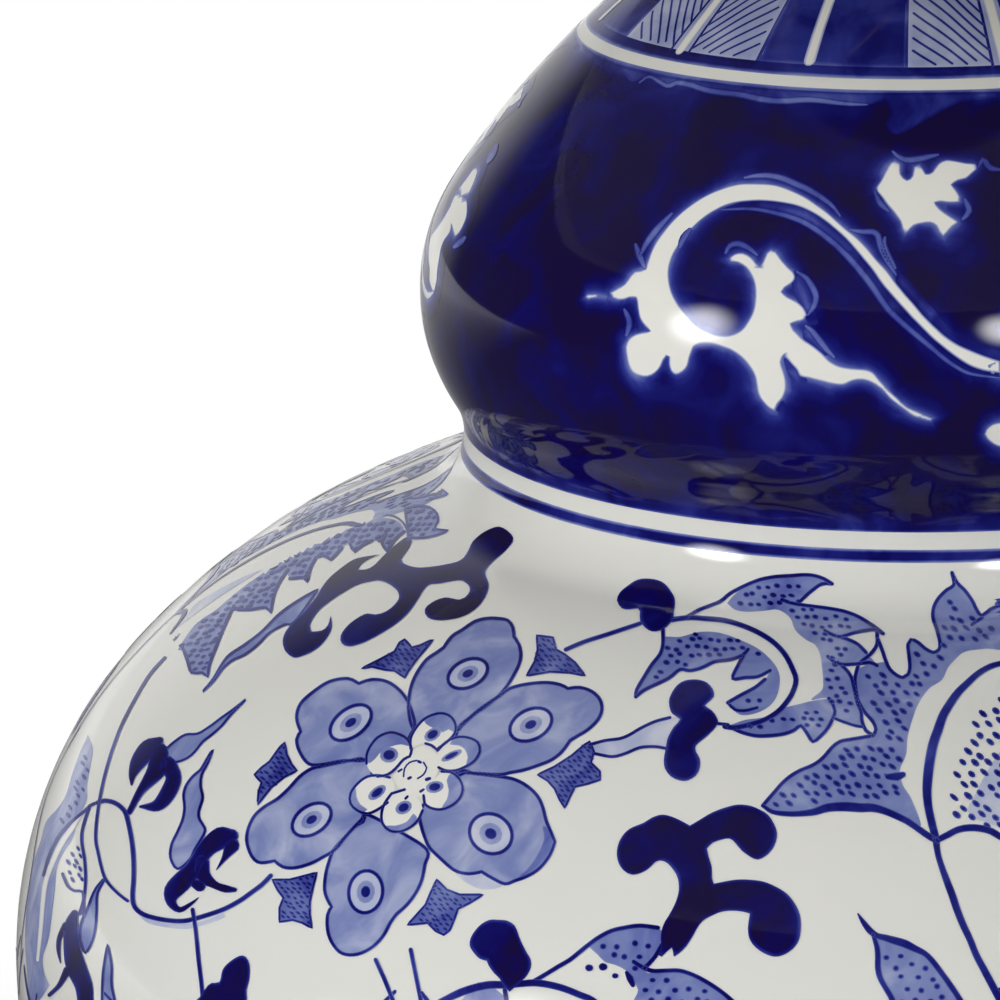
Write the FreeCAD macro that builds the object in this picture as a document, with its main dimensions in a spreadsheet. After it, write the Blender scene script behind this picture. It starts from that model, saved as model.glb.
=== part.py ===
import FreeCAD, Part
import Sketcher
import math
import os

# Table lamp with a double gourd porcelain body, a drum-like tapered shade and a lift-off harp.
# Origin: middle of the felt under the base. +Z runs up the lamp's axis. The harp stands in the
# XZ plane, the switch knob faces -Y and the cord leaves the base towards +Y. Millimetres.

doc = FreeCAD.newDocument("gourd_lamp")
sheet = doc.addObject("Spreadsheet::Sheet", "size")

# Driving dimensions, one named cell each
sizes = {
    # felt and turned wooden base
    "felt_thickness": 2.0,
    "felt_inset": 4.0,
    "base_radius": 92.0,
    "base_height": 29.0,
    "plinth_height": 16.0,
    "plinth_round": 3.0,
    "ledge_width": 4.0,
    "cove_width": 6.0,
    "cove_height": 7.0,
    "top_round": 1.5,
    "recess_radius": 24.0,
    "recess_depth": 15.0,
    # cord bushing at the back of the base
    "cord_bore_radius": 3.9,
    "bushing_wall": 1.5,
    "bushing_length": 12.0,
    "flange_width": 1.8,
    "flange_thickness": 2.0,
    "flange_seat_depth": 1.0,
    "cord_height": 8.0,
    "cord_channel_radius": 4.5,
    # threaded rod and what it clamps
    "rod_radius": 4.9,
    "rod_bore_radius": 3.2,
    "rod_clearance": 0.25,
    "rod_tail": 3.0,
    "nut_across": 17.0,
    "nut_height": 6.0,
    "washer_radius": 13.0,
    "washer_thickness": 1.6,
    # porcelain double gourd
    "foot_radius": 70.0,
    "foot_height": 8.0,
    "foot_ring_width": 10.0,
    "foot_recess": 5.0,
    "floor_height": 12.0,
    "floor_hole_radius": 8.0,
    "belly_radius": 128.1,
    "belly_height": 102.0,
    "belly_arc": 57.0,
    "belly_arc_rise": 38.6,
    "shoulder_arc": 91.5,
    "waist_radius": 63.35,
    "waist_arc": 10.0,
    "bulb_radius": 69.0,
    "bulb_arc": 26.5,
    "bulb_arc_rise": 14.8,
    "collar_arc": 131.0,
    "neck_radius": 27.5,
    "neck_arc": 20.0,
    "neck_length": 38.0,
    "mouth_arc": 18.0,
    "mouth_rise": 12.0,
    "porcelain_wall": 6.0,
    "gasket_thickness": 1.0,
    "gasket_margin": 1.0,
    # brass cap, neck spacer and check ring
    "cap_clearance": 1.0,
    "cap_wall": 2.0,
    "cap_skirt": 4.0,
    "cap_rim_height": 5.0,
    "cap_round": 3.0,
    "cap_hub_radius": 12.0,
    "cap_land": 5.0,
    "cap_height": 11.0,
    "spacer_radius": 9.0,
    "spacer_waist": 7.0,
    "spacer_end": 3.0,
    "spacer_cove": 2.5,
    "spacer_height": 22.0,
    "check_ring_radius": 11.0,
    "check_ring_height": 4.0,
    "knurl_radius": 0.6,
    "knurl_count": 24,
    # harp saddle, harp, ferrules and shade stud
    "saddle_thickness": 1.6,
    "saddle_width": 12.0,
    "saddle_half_span": 25.0,
    "saddle_shoulder": 5.0,
    "tab_width": 4.0,
    "tab_height": 15.0,
    "harp_wire_radius": 2.0,
    "harp_flat_depth": 1.3,
    "harp_foot_height": 3.0,
    "harp_straight": 34.0,
    "harp_foot_arc": 28.0,
    "harp_side_arc": 80.0,
    "harp_crown_arc": 34.0,
    "harp_half_width": 57.0,
    "harp_height": 203.0,
    "harp_top_flat": 1.0,
    "ferrule_wall": 0.8,
    "ferrule_height": 16.0,
    "ferrule_collar": 4.0,
    "seat_radius": 6.5,
    "seat_thickness": 2.0,
    "stud_radius": 3.1,
    "stud_height": 14.0,
    "stud_chamfer": 0.6,
    # lamp socket
    "socket_hub_radius": 8.0,
    "socket_hub_height": 6.0,
    "socket_radius": 17.2,
    "socket_flare_height": 13.0,
    "socket_cap_height": 22.0,
    "socket_cap_wall": 0.8,
    "socket_floor": 2.0,
    "rod_entry": 5.5,
    "shell_wall": 0.5,
    "shell_overlap": 6.0,
    "shell_length": 46.0,
    "sleeve_wall": 0.7,
    "sleeve_setback": 1.5,
    "shell_bead": 1.4,
    "interior_height": 21.0,
    "interior_boss_radius": 7.5,
    "interior_boss_height": 8.0,
    "screw_shell_wall": 0.5,
    "bulb_bore_radius": 13.3,
    "screw_shell_height": 20.0,
    "screw_shell_foot_radius": 11.0,
    "screw_shell_foot_height": 4.0,
    "contact_hole_radius": 6.0,
    "contact_width": 5.0,
    "contact_length": 10.0,
    "contact_thickness": 0.5,
    "contact_rise": 3.0,
    "terminal_head_radius": 3.0,
    "terminal_head_height": 2.0,
    "terminal_shank_radius": 1.5,
    "terminal_shank_length": 5.0,
    "terminal_seat": 12.0,
    "terminal_height": 15.0,
    "set_screw_radius": 1.5,
    "set_screw_head_radius": 2.2,
    "set_screw_head": 1.5,
    "set_screw_height": 3.0,
    # turn knob switch
    "switch_height": 19.0,
    "switch_bore_depth": 9.0,
    "shaft_radius": 2.4,
    "knob_radius": 6.0,
    "knob_length": 13.0,
    "knob_standoff": 1.2,
    "knob_neck_radius": 4.0,
    "knob_neck_length": 2.0,
    "knob_round": 1.5,
    "knob_bore_depth": 9.0,
    "knob_flute_radius": 0.9,
    "knob_flutes": 12,
    # shade
    "shade_top_radius": 165.0,
    "shade_bottom_radius": 200.0,
    "shade_height": 262.0,
    "liner_wall": 0.6,
    "fabric_wall": 0.6,
    "trim_wall": 0.5,
    "trim_width": 10.0,
    "ring_wire_radius": 1.6,
    "ring_edge": 3.0,
    "spider_hub_radius": 12.0,
    "spider_hub_thickness": 2.0,
    "spider_hole_radius": 3.6,
    "spider_wire_radius": 1.7,
    "spider_bend": 9.0,
    "spider_recess": 13.0,
    "spider_arms": 3,
    # finial
    "finial_foot_radius": 7.0,
    "finial_foot_height": 2.0,
    "finial_cove": 3.0,
    "finial_neck_radius": 4.6,
    "finial_neck_height": 12.0,
    "finial_cup_radius": 8.5,
    "finial_height": 18.0,
    "finial_bore_depth": 14.0,
    "ball_radius": 12.0,
    "ball_seat_radius": 5.0,
    "tip_radius": 3.0,
    # named clearances
    "running_fit": 0.06,
    "moving_gap": 0.3,
    "seam_gap": 0.05,
    "glue_gap": 0.15,
}

# Cells worked out from the ones above, as formulas of the sheet
formulas = {
    "base_top": "felt_thickness + base_height",
    "body_bottom": "base_top + gasket_thickness",
    "lower_arc": "((belly_height - foot_height)^2 + (belly_radius - foot_radius)^2)"
                 " / (2 * (belly_radius - foot_radius))",
    "bushing_radius": "cord_bore_radius + bushing_wall",
    "rod_hole_radius": "rod_radius + rod_clearance",
    "nut_top": "felt_thickness + recess_depth - washer_thickness",
    "rod_bottom": "nut_top - nut_height - rod_tail",
    "leg_offset": "saddle_half_span + moving_gap + harp_wire_radius - harp_flat_depth",
    "belly_cosine": "sqrt(1 - (belly_arc_rise / belly_arc)^2)",
    "shoulder_centre_x": "belly_radius - belly_arc - (shoulder_arc - belly_arc) * belly_cosine",
    "shoulder_centre_z": "belly_height - (shoulder_arc - belly_arc) * belly_arc_rise / belly_arc",
    "waist_centre_x": "waist_radius + waist_arc",
    "waist_centre_z": "shoulder_centre_z + sqrt((shoulder_arc + waist_arc)^2"
                      " - (waist_centre_x - shoulder_centre_x)^2)",
    "bulb_centre_x": "bulb_radius - bulb_arc",
    "bulb_centre_z": "waist_centre_z + sqrt((waist_arc + bulb_arc)^2"
                     " - (waist_centre_x - bulb_centre_x)^2)",
    "bulb_cosine": "sqrt(1 - (bulb_arc_rise / bulb_arc)^2)",
    "collar_centre_x": "bulb_centre_x - (collar_arc - bulb_arc) * bulb_cosine",
    "collar_centre_z": "bulb_centre_z - (collar_arc - bulb_arc) * bulb_arc_rise / bulb_arc",
    "neck_centre_x": "neck_radius + neck_arc",
    "neck_centre_z": "collar_centre_z + sqrt((collar_arc + neck_arc)^2"
                     " - (neck_centre_x - collar_centre_x)^2)",
    "mouth_radius": "neck_radius + mouth_arc - sqrt(mouth_arc^2 - mouth_rise^2)",
    "body_top": "body_bottom + neck_centre_z + neck_length + mouth_rise",
    "cap_bottom": "body_top + gasket_thickness",
    "spacer_bottom": "cap_bottom + cap_height",
    "spacer_top": "spacer_bottom + spacer_height",
    "saddle_bottom": "spacer_top + check_ring_height",
    "socket_bottom": "saddle_bottom + saddle_thickness",
    "ferrule_bore": "sqrt((leg_offset - saddle_half_span + saddle_thickness)^2"
                    " + (tab_width / 2)^2) + moving_gap",
    "shell_radius": "socket_radius - socket_cap_wall - seam_gap",
    "sleeve_radius": "shell_radius - shell_wall - seam_gap",
    "interior_radius": "sleeve_radius - sleeve_wall - seam_gap",
    "interior_bottom": "socket_bottom + socket_hub_height + socket_floor",
    "interior_top": "interior_bottom + interior_boss_height + interior_height",
    "shell_bottom": "socket_bottom + socket_cap_height - shell_overlap",
    "shaft_height": "interior_bottom + switch_height",
    "shaft_start": "interior_radius - switch_bore_depth + moving_gap",
    "knob_start": "shell_radius + knob_standoff",
    "seat_bottom": "saddle_bottom + harp_height + harp_wire_radius - harp_top_flat",
    "spider_bottom": "seat_bottom + seat_thickness + moving_gap",
    "finial_bottom": "spider_bottom + spider_hub_thickness + moving_gap",
    "ball_centre": "sqrt(ball_radius^2 - ball_seat_radius^2)",
    "shade_taper": "(shade_bottom_radius - shade_top_radius) / shade_height",
    "shade_bottom": "spider_bottom + top_ring_height + ring_edge - shade_height",
    "lining_depth": "fabric_wall + liner_wall + trim_wall + 3 * glue_gap",
    "top_ring_radius": "shade_top_radius + ring_edge * shade_taper - lining_depth"
                       " - ring_wire_radius * sqrt(1 + shade_taper^2)",
    "bottom_ring_radius": "shade_bottom_radius - ring_edge * shade_taper - lining_depth"
                          " - ring_wire_radius * sqrt(1 + shade_taper^2)",
    "top_ring_height": "spider_hub_thickness / 2 + spider_recess",
}

row = 0
for alias, number in sizes.items():
    row += 1
    sheet.set(f"A{row}", alias.replace("_", " "))
    sheet.set(f"B{row}", str(number))
    sheet.setAlias(f"B{row}", alias)
for alias, formula in formulas.items():
    row += 1
    sheet.set(f"A{row}", alias.replace("_", " "))
    sheet.setAlias(f"B{row}", alias)
    sheet.set(f"B{row}", "=" + formula)
doc.recompute()


def full(expression):
    """Write the sheet's name before every alias in an expression."""
    words = []
    word = ""
    for letter in expression + " ":
        if letter.isalnum() or letter == "_":
            word += letter
            continue
        if word in sizes or word in formulas:
            word = "size." + word
        words.append(word + letter)
        word = ""
    return "".join(words).strip()


def value(expression):
    """The number that an expression of the sheet's aliases gives now."""
    return float(sheet.evalExpression(full(expression)))


# Sketch helpers: every dimension is a constraint bound to the sheet

pieces = []


def new_body(label):
    body = doc.addObject("PartDesign::Body", label)
    body.Label = label
    pieces.append(body)
    return body


def origin_part(body, role):
    """One of the body's own origin planes or axes."""
    return [part for part in body.Origin.OriginFeatures if part.Role == role][0]


def new_sketch(body, name, plane="XZ_Plane"):
    sketch = body.newObject("Sketcher::SketchObject", name)
    sketch.AttachmentSupport = [(origin_part(body, plane), "")]
    sketch.MapMode = "FlatFace"
    return sketch


def dimension(sketch, kind, where, expression):
    """Add a sketch dimension whose value follows the sheet."""
    index = sketch.addConstraint(Sketcher.Constraint(kind, *where, value(expression)))
    sketch.setExpression(f"Constraints[{index}]", full(expression))


def place_point(sketch, point, x, z):
    """Fix a point of the sketch at (x, z), each an expression or the text 0 for an axis."""
    if x == "0":
        sketch.addConstraint(Sketcher.Constraint("PointOnObject", *point, -2))
    else:
        dimension(sketch, "DistanceX", (-1, 1) + point, x)
    if z == "0":
        sketch.addConstraint(Sketcher.Constraint("PointOnObject", *point, -1))
    else:
        dimension(sketch, "DistanceY", (-1, 1) + point, z)


def lift(piece, height, x="0", y="0"):
    """Place a piece on the lamp, with its position bound to the sheet."""
    piece.setExpression(".Placement.Base.x", full(x))
    piece.setExpression(".Placement.Base.y", full(y))
    piece.setExpression(".Placement.Base.z", full(height))


def arc_between(start, end, turn):
    """Circle arc from start to end that turns by turn degrees, to the left when positive."""
    chord = math.hypot(end[0] - start[0], end[1] - start[1])
    half = math.radians(abs(turn)) / 2
    radius = chord / (2 * math.sin(half))
    along = ((end[0] - start[0]) / chord, (end[1] - start[1]) / chord)
    side = 1 if turn > 0 else -1
    middle = ((start[0] + end[0]) / 2, (start[1] + end[1]) / 2)
    reach = radius * math.cos(half)
    centre = (middle[0] - along[1] * reach * side, middle[1] + along[0] * reach * side)
    return arc_about(centre, radius, start, end, turn > 0)


def arc_about(centre, radius, start, end, left):
    """Sketch arc about a centre from start to end, anticlockwise when left is true."""
    circle = Part.Circle(FreeCAD.Vector(centre[0], centre[1], 0), FreeCAD.Vector(0, 0, 1), radius)
    first = math.atan2(start[1] - centre[1], start[0] - centre[0])
    last = math.atan2(end[1] - centre[1], end[0] - centre[0])
    if not left:
        first, last = last, first
    if last < first:
        last += 2 * math.pi
    return Part.ArcOfCircle(circle, first, last)


def line(start, end):
    return Part.LineSegment(FreeCAD.Vector(*start, 0), FreeCAD.Vector(*end, 0))


def outline(sketch, points, turns=None):
    """Closed outline through points given as (x, z) expressions. turns maps the number of a
    side to the degrees that it turns as an arc, to the left when positive."""
    turns = turns or {}
    corners = [(value(x), value(z)) for x, z in points]
    count = len(points)
    ends = []
    for side in range(count):
        start = corners[side]
        end = corners[(side + 1) % count]
        if side in turns:
            sketch.addGeometry(arc_between(start, end, turns[side]))
            ends.append(((side, 1), (side, 2)) if turns[side] > 0 else ((side, 2), (side, 1)))
        else:
            sketch.addGeometry(line(start, end))
            ends.append(((side, 1), (side, 2)))
    for side in range(count):
        following = (side + 1) % count
        sketch.addConstraint(Sketcher.Constraint("Coincident", *ends[side][1], *ends[following][0]))
        place_point(sketch, ends[side][0], *points[side])
    for side, turn in turns.items():
        (x1, z1), (x2, z2) = points[side], points[(side + 1) % count]
        chord = f"sqrt((({x2}) - ({x1}))^2 + (({z2}) - ({z1}))^2)"
        dimension(sketch, "Radius", (side,), f"{chord} / (2 * sin({abs(turn) / 2} deg))")


def revolve(body, sketch, kind="PartDesign::Revolution"):
    feature = body.newObject(kind, "turned")
    feature.Profile = sketch
    feature.ReferenceAxis = (sketch, ["V_Axis"])
    feature.Angle = 360
    sketch.Visibility = False
    doc.recompute()
    return feature


def turned(label, points, turns=None, height="0", x="0", y="0"):
    """A piece turned about its own Z axis from a half outline of (radius, height) points."""
    body = new_body(label)
    sketch = new_sketch(body, label + "_outline")
    outline(sketch, points, turns)
    revolve(body, sketch)
    lift(body, height, x, y)
    return body


def circle_cut(body, name, plane, centre, radius, length=None, reverse=False):
    """Round hole from a plane of the body: through everything, or as deep as length says."""
    before = body.Shape.Volume
    sketch = new_sketch(body, name, plane)
    sketch.addGeometry(Part.Circle(FreeCAD.Vector(value(centre[0]), value(centre[1]), 0),
                                   FreeCAD.Vector(0, 0, 1), value(radius)))
    if centre == ("0", "0"):
        sketch.addConstraint(Sketcher.Constraint("Coincident", 0, 3, -1, 1))
    else:
        place_point(sketch, (0, 3), *centre)
    dimension(sketch, "Radius", (0,), radius)
    pocket = body.newObject("PartDesign::Pocket", name + "_cut")
    pocket.Profile = sketch
    pocket.Reversed = reverse
    if length is None:
        pocket.Type = "ThroughAll"
    else:
        pocket.Type = "Length"
        pocket.setExpression("Length", full(length))
    doc.recompute()
    if not body.Shape.Volume < before - 1e-3:
        raise ValueError(name + " cuts nothing")
    return pocket


def facing(piece, axis, degrees):
    """Turn a piece on its spot, before lift places it."""
    piece.Placement = FreeCAD.Placement(FreeCAD.Vector(0, 0, 0),
                                        FreeCAD.Rotation(FreeCAD.Vector(*axis), degrees))


# How far the arcs of an outline turn, in degrees: a round edge to the left, a hollow to the right
edge_round = 90
rolled_edge = 170
flange_round = 70
deep_cove = -80
cap_sweep = -75
flare_sweep = 50

# Felt pad: a disc glued under the base, which it covers

turned("felt_pad", [("0", "0"), ("base_radius - felt_inset", "0"),
                    ("base_radius - felt_inset", "felt_thickness"), ("0", "felt_thickness")])

# Wooden base: turned plinth with a cove, a nut recess below and a cord channel to the back

ledge = "base_radius - plinth_round - ledge_width"
shelf = "plinth_height + plinth_round"
top_edge = "base_radius - plinth_round - ledge_width - cove_width"
wooden_base = turned("wooden_base", [
    ("0", "0"),
    ("base_radius", "0"),
    ("base_radius", "plinth_height"),
    ("base_radius - plinth_round", shelf),
    (ledge, shelf),
    (top_edge, shelf + " + cove_height"),
    (top_edge, "base_height - top_round"),
    (top_edge + " - top_round", "base_height"),
    ("0", "base_height"),
], {2: edge_round, 4: deep_cove, 6: edge_round}, "felt_thickness")
circle_cut(wooden_base, "rod_hole", "XY_Plane", ("0", "0"), "rod_hole_radius", reverse=True)
circle_cut(wooden_base, "nut_recess", "XY_Plane", ("0", "0"), "recess_radius", "recess_depth", True)


def cross_cut(body, name, toward, radius, height, start, length):
    """Round level hole at a height, from start along +X, -X, +Y or -Y."""
    before = body.Shape.Volume
    along_normal = toward in ("+X", "-Y")
    sketch = new_sketch(body, name, "YZ_Plane" if "X" in toward else "XZ_Plane")
    sketch.addGeometry(Part.Circle(FreeCAD.Vector(0, value(height), 0),
                                   FreeCAD.Vector(0, 0, 1), value(radius)))
    place_point(sketch, (0, 3), "0", height)
    dimension(sketch, "Radius", (0,), radius)
    sketch.setExpression(".AttachmentOffset.Base.z",
                         full(f"{'' if along_normal else '-'}({start})"))
    pocket = body.newObject("PartDesign::Pocket", name + "_cut")
    pocket.Profile = sketch
    pocket.Type = "Length"
    pocket.Reversed = along_normal
    pocket.setExpression("Length", full(length))
    doc.recompute()
    if not body.Shape.Volume < before - 1e-3:
        raise ValueError(name + " cuts nothing")


cross_cut(wooden_base, "cord_channel", "+Y", "cord_channel_radius", "cord_height",
          "recess_radius / 2", "base_radius")
cross_cut(wooden_base, "bushing_hole", "+Y", "bushing_radius + seam_gap", "cord_height",
          "base_radius - flange_seat_depth - bushing_length", "bushing_length + flange_thickness")
cross_cut(wooden_base, "flange_seat", "+Y", "bushing_radius + flange_width + moving_gap",
          "cord_height", "base_radius - flange_seat_depth", "flange_thickness")

# Cord bushing: a flanged plastic tube pressed in from the back. The cord itself is left out

bushing = turned("cord_bushing", [
    ("cord_bore_radius", "0"),
    ("bushing_radius", "0"),
    ("bushing_radius", "bushing_length"),
    ("bushing_radius + flange_width", "bushing_length"),
    ("bushing_radius + flange_width", "bushing_length + flange_thickness / 2"),
    ("bushing_radius", "bushing_length + flange_thickness"),
    ("cord_bore_radius", "bushing_length + flange_thickness"),
], {4: flange_round})
facing(bushing, (1, 0, 0), -90)
lift(bushing, "felt_thickness + cord_height", y="base_radius - flange_seat_depth - bushing_length")

# Bottom nut, lock washer and the hollow threaded rod that clamps the whole column

nut = new_body("bottom_nut")
nut_sketch = new_sketch(nut, "nut_outline", "XY_Plane")
nut_corner = value("nut_across") / math.sqrt(3)
corners = [(nut_corner * math.cos(math.radians(60 * k)), nut_corner * math.sin(math.radians(60 * k)))
           for k in range(6)]
for k in range(6):
    nut_sketch.addGeometry(line(corners[k], corners[(k + 1) % 6]))
for k in range(6):
    nut_sketch.addConstraint(Sketcher.Constraint("Coincident", k, 2, (k + 1) % 6, 1))
nut_sketch.addGeometry(Part.Circle(FreeCAD.Vector(0, 0, 0), FreeCAD.Vector(0, 0, 1), nut_corner))
nut_sketch.toggleConstruction(6)
nut_sketch.addConstraint(Sketcher.Constraint("Coincident", 6, 3, -1, 1))
dimension(nut_sketch, "Radius", (6,), "nut_across / sqrt(3)")
for k in range(6):
    nut_sketch.addConstraint(Sketcher.Constraint("PointOnObject", k, 1, 6))
for k in range(5):
    nut_sketch.addConstraint(Sketcher.Constraint("Equal", k, k + 1))
nut_sketch.addConstraint(Sketcher.Constraint("PointOnObject", 0, 1, -1))
nut_pad = nut.newObject("PartDesign::Pad", "nut_pad")
nut_pad.Profile = nut_sketch
nut_pad.setExpression("Length", full("nut_height"))
doc.recompute()
circle_cut(nut, "nut_thread", "XY_Plane", ("0", "0"), "rod_radius + seam_gap", reverse=True)
lift(nut, "nut_top - nut_height")

turned("lock_washer", [("rod_hole_radius", "0"), ("washer_radius", "0"),
                       ("washer_radius", "washer_thickness"), ("rod_hole_radius", "washer_thickness")],
       height="nut_top")

# Porcelain body: slip-cast double gourd, drawn as tangent arcs, with an even wall

def gourd_curve(sketch, inset):
    """Chain of tangent arcs from the foot to the mouth, set in by inset, and its end points."""
    wall = value(inset)
    centre = [(value("belly_radius - lower_arc"), value("belly_height")),
              (value("belly_radius - belly_arc"), value("belly_height")),
              (value("shoulder_centre_x"), value("shoulder_centre_z")),
              (value("waist_centre_x"), value("waist_centre_z")),
              (value("bulb_centre_x"), value("bulb_centre_z")),
              (value("collar_centre_x"), value("collar_centre_z")),
              (value("neck_centre_x"), value("neck_centre_z"))]
    arcs = ["lower_arc", "belly_arc", "shoulder_arc", "waist_arc", "bulb_arc", "collar_arc",
            "neck_arc"]
    concave = (3, 6)
    radius = [value(arc) + (wall if k in concave else -wall) for k, arc in enumerate(arcs)]

    def meeting(first, second):
        """Point where two arcs that curve opposite ways touch."""
        share = radius[first] / (radius[first] + radius[second])
        return tuple(a + share * (b - a) for a, b in zip(centre[first], centre[second]))

    def leaving(arc, rise, cosine):
        """Point where an arc hands over to a wider one."""
        return (centre[arc][0] + radius[arc] * cosine,
                centre[arc][1] + radius[arc] * rise)

    low = value("floor_height") if wall else value("foot_height")
    start = (centre[0][0] + math.sqrt(radius[0] ** 2 - (centre[0][1] - low) ** 2), low)
    neck_foot = (centre[6][0] - radius[6], centre[6][1])
    meet = [start, (centre[0][0] + radius[0], centre[0][1]),
            leaving(1, value("belly_arc_rise / belly_arc"), value("belly_cosine")),
            meeting(2, 3), meeting(3, 4),
            leaving(4, value("bulb_arc_rise / bulb_arc"), value("bulb_cosine")),
            meeting(5, 6), neck_foot]
    for k in range(7):
        sketch.addGeometry(arc_about(centre[k], radius[k], meet[k], meet[k + 1], k not in concave))
    neck_top = (neck_foot[0], neck_foot[1] + value("neck_length"))
    lip = value("mouth_arc") + wall
    mouth = (neck_top[0] + lip - math.sqrt(lip ** 2 - value("mouth_rise") ** 2),
             neck_top[1] + value("mouth_rise"))
    sketch.addGeometry(line(neck_foot, neck_top))
    sketch.addGeometry(arc_about((neck_top[0] + lip, neck_top[1]), lip, neck_top, mouth, False))

    # first and last point of each piece of the chain, in the chain's own direction
    first = [(k, 2) if k in (3, 6, 8) else (k, 1) for k in range(9)]
    last = [(k, 1) if k in (3, 6, 8) else (k, 2) for k in range(9)]
    for k in range(8):
        sketch.addConstraint(Sketcher.Constraint("Tangent", *last[k], *first[k + 1]))
    for k, arc in enumerate(arcs):
        dimension(sketch, "Radius", (k,), f"{arc} {'+' if k in concave else '-'} {inset}")
    dimension(sketch, "Radius", (8,), f"mouth_arc + {inset}")
    place_point(sketch, last[0], f"belly_radius - {inset}", "belly_height")
    sketch.addConstraint(Sketcher.Constraint("Horizontal", 0, 3, *last[0]))
    dimension(sketch, "DistanceY", (1, 3) + last[1],
              f"belly_arc_rise * (belly_arc - {inset}) / belly_arc")
    dimension(sketch, "DistanceX", (-1, 1, 3, 3), "waist_centre_x")
    dimension(sketch, "DistanceX", (-1, 1, 4, 3), "bulb_centre_x")
    dimension(sketch, "DistanceY", (4, 3) + last[4],
              f"bulb_arc_rise * (bulb_arc - {inset}) / bulb_arc")
    dimension(sketch, "DistanceX", (-1, 1, 6, 3), "neck_centre_x")
    sketch.addConstraint(Sketcher.Constraint("Vertical", 7))
    dimension(sketch, "DistanceY", (7, 1, 7, 2), "neck_length")
    dimension(sketch, "DistanceY", first[8] + last[8], "mouth_rise")
    return first[0], last[8], start, mouth


def close_to_axis(sketch, low_point, high_point, low, high):
    """Close a chain to the axis with a level line at each end and a line along the axis."""
    at = sketch.GeometryCount
    sketch.addGeometry(line(high, (0, high[1])))
    sketch.addGeometry(line((0, high[1]), (0, low[1])))
    sketch.addGeometry(line((0, low[1]), low))
    for first, second in ((high_point, (at, 1)), ((at, 2), (at + 1, 1)),
                          ((at + 1, 2), (at + 2, 1)), ((at + 2, 2), low_point)):
        sketch.addConstraint(Sketcher.Constraint("Coincident", *first, *second))
    sketch.addConstraint(Sketcher.Constraint("Horizontal", at))
    sketch.addConstraint(Sketcher.Constraint("Horizontal", at + 2))
    sketch.addConstraint(Sketcher.Constraint("PointOnObject", at, 2, -2))
    sketch.addConstraint(Sketcher.Constraint("PointOnObject", at + 1, 2, -2))


porcelain = new_body("porcelain_body")
outside = new_sketch(porcelain, "gourd_outside")
low_point, high_point, low, high = gourd_curve(outside, "0")
foot_side = outside.GeometryCount
outside.addGeometry(line((low[0], 0), low))
outside.addConstraint(Sketcher.Constraint("Coincident", foot_side, 2, *low_point))
outside.addConstraint(Sketcher.Constraint("Vertical", foot_side))
place_point(outside, (foot_side, 1), "foot_radius", "0")
close_to_axis(outside, (foot_side, 1), high_point, (low[0], 0), high)
revolve(porcelain, outside)

inside = new_sketch(porcelain, "gourd_inside")
low_point, high_point, low, high = gourd_curve(inside, "porcelain_wall")
dimension(inside, "DistanceY", (-1, 1) + low_point, "floor_height")
close_to_axis(inside, low_point, high_point, low, high)
solid_volume = porcelain.Shape.Volume
revolve(porcelain, inside, "PartDesign::Groove")
if not porcelain.Shape.Volume < solid_volume / 2:
    raise ValueError("the gourd is not hollow")
circle_cut(porcelain, "foot_hollow", "XY_Plane", ("0", "0"), "foot_radius - foot_ring_width",
           "foot_recess", True)
circle_cut(porcelain, "floor_hole", "XY_Plane", ("0", "0"), "floor_hole_radius", "floor_height + foot_recess",
           True)
lift(porcelain, "body_bottom")

# Gaskets: rubber rings under the foot and on the mouth

foot_inner = "foot_radius - foot_ring_width + gasket_margin"
foot_outer = "foot_radius - gasket_margin"
turned("foot_gasket", [(foot_inner, "0"), (foot_outer, "0"),
                       (foot_outer, "gasket_thickness"), (foot_inner, "gasket_thickness")],
       height="base_top")
mouth_inner = "mouth_radius - porcelain_wall + gasket_margin"
mouth_outer = "mouth_radius - gasket_margin"
turned("mouth_gasket", [(mouth_inner, "0"), (mouth_outer, "0"),
                        (mouth_outer, "gasket_thickness"), (mouth_inner, "gasket_thickness")],
       height="body_top")

# Vase cap: turned brass, its skirt laps over the porcelain's lip

skirt_inner = "mouth_radius + cap_clearance"
skirt_outer = "mouth_radius + cap_clearance + cap_wall"
turned("vase_cap", [
    ("rod_hole_radius", "0"),
    (skirt_inner, "0"),
    (skirt_inner, "-cap_skirt"),
    (skirt_outer, "-cap_skirt"),
    (skirt_outer, "cap_rim_height - cap_round"),
    (skirt_outer + " - cap_round", "cap_rim_height"),
    (skirt_outer + " - cap_round - cap_land", "cap_rim_height"),
    ("cap_hub_radius", "cap_height"),
    ("rod_hole_radius", "cap_height"),
], {4: edge_round, 6: cap_sweep}, "cap_bottom")

# Neck spacer: a turned brass tube with a slim middle

turned("neck_spacer", [
    ("rod_hole_radius", "0"),
    ("spacer_radius", "0"),
    ("spacer_radius", "spacer_end"),
    ("spacer_waist", "spacer_end + spacer_cove"),
    ("spacer_waist", "spacer_height - spacer_end - spacer_cove"),
    ("spacer_radius", "spacer_height - spacer_end"),
    ("spacer_radius", "spacer_height"),
    ("rod_hole_radius", "spacer_height"),
], {2: deep_cove, 4: deep_cove}, "spacer_bottom")

# Check ring: a knurled round nut that clamps the column on the rod

check_ring = turned("check_ring", [
    ("rod_radius + running_fit", "0"),
    ("check_ring_radius", "0"),
    ("check_ring_radius", "check_ring_height"),
    ("rod_radius + running_fit", "check_ring_height"),
])


def flutes(body, name, radius, at_radius, count, start="0", length=None):
    """Round grooves along Z, cut evenly around a turned piece."""
    circle_cut(body, name, "XY_Plane", (at_radius, "0"), radius, length, True)
    groove = body.Tip
    if start != "0":
        groove.Profile[0].setExpression(".AttachmentOffset.Base.z", full(start))
    pattern = body.newObject("PartDesign::PolarPattern", name + "_pattern")
    pattern.Originals = [groove]
    pattern.Axis = (origin_part(body, "Z_Axis"), [""])
    pattern.Angle = 360
    pattern.setExpression("Occurrences", full(count))
    body.Tip = pattern
    doc.recompute()


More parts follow.
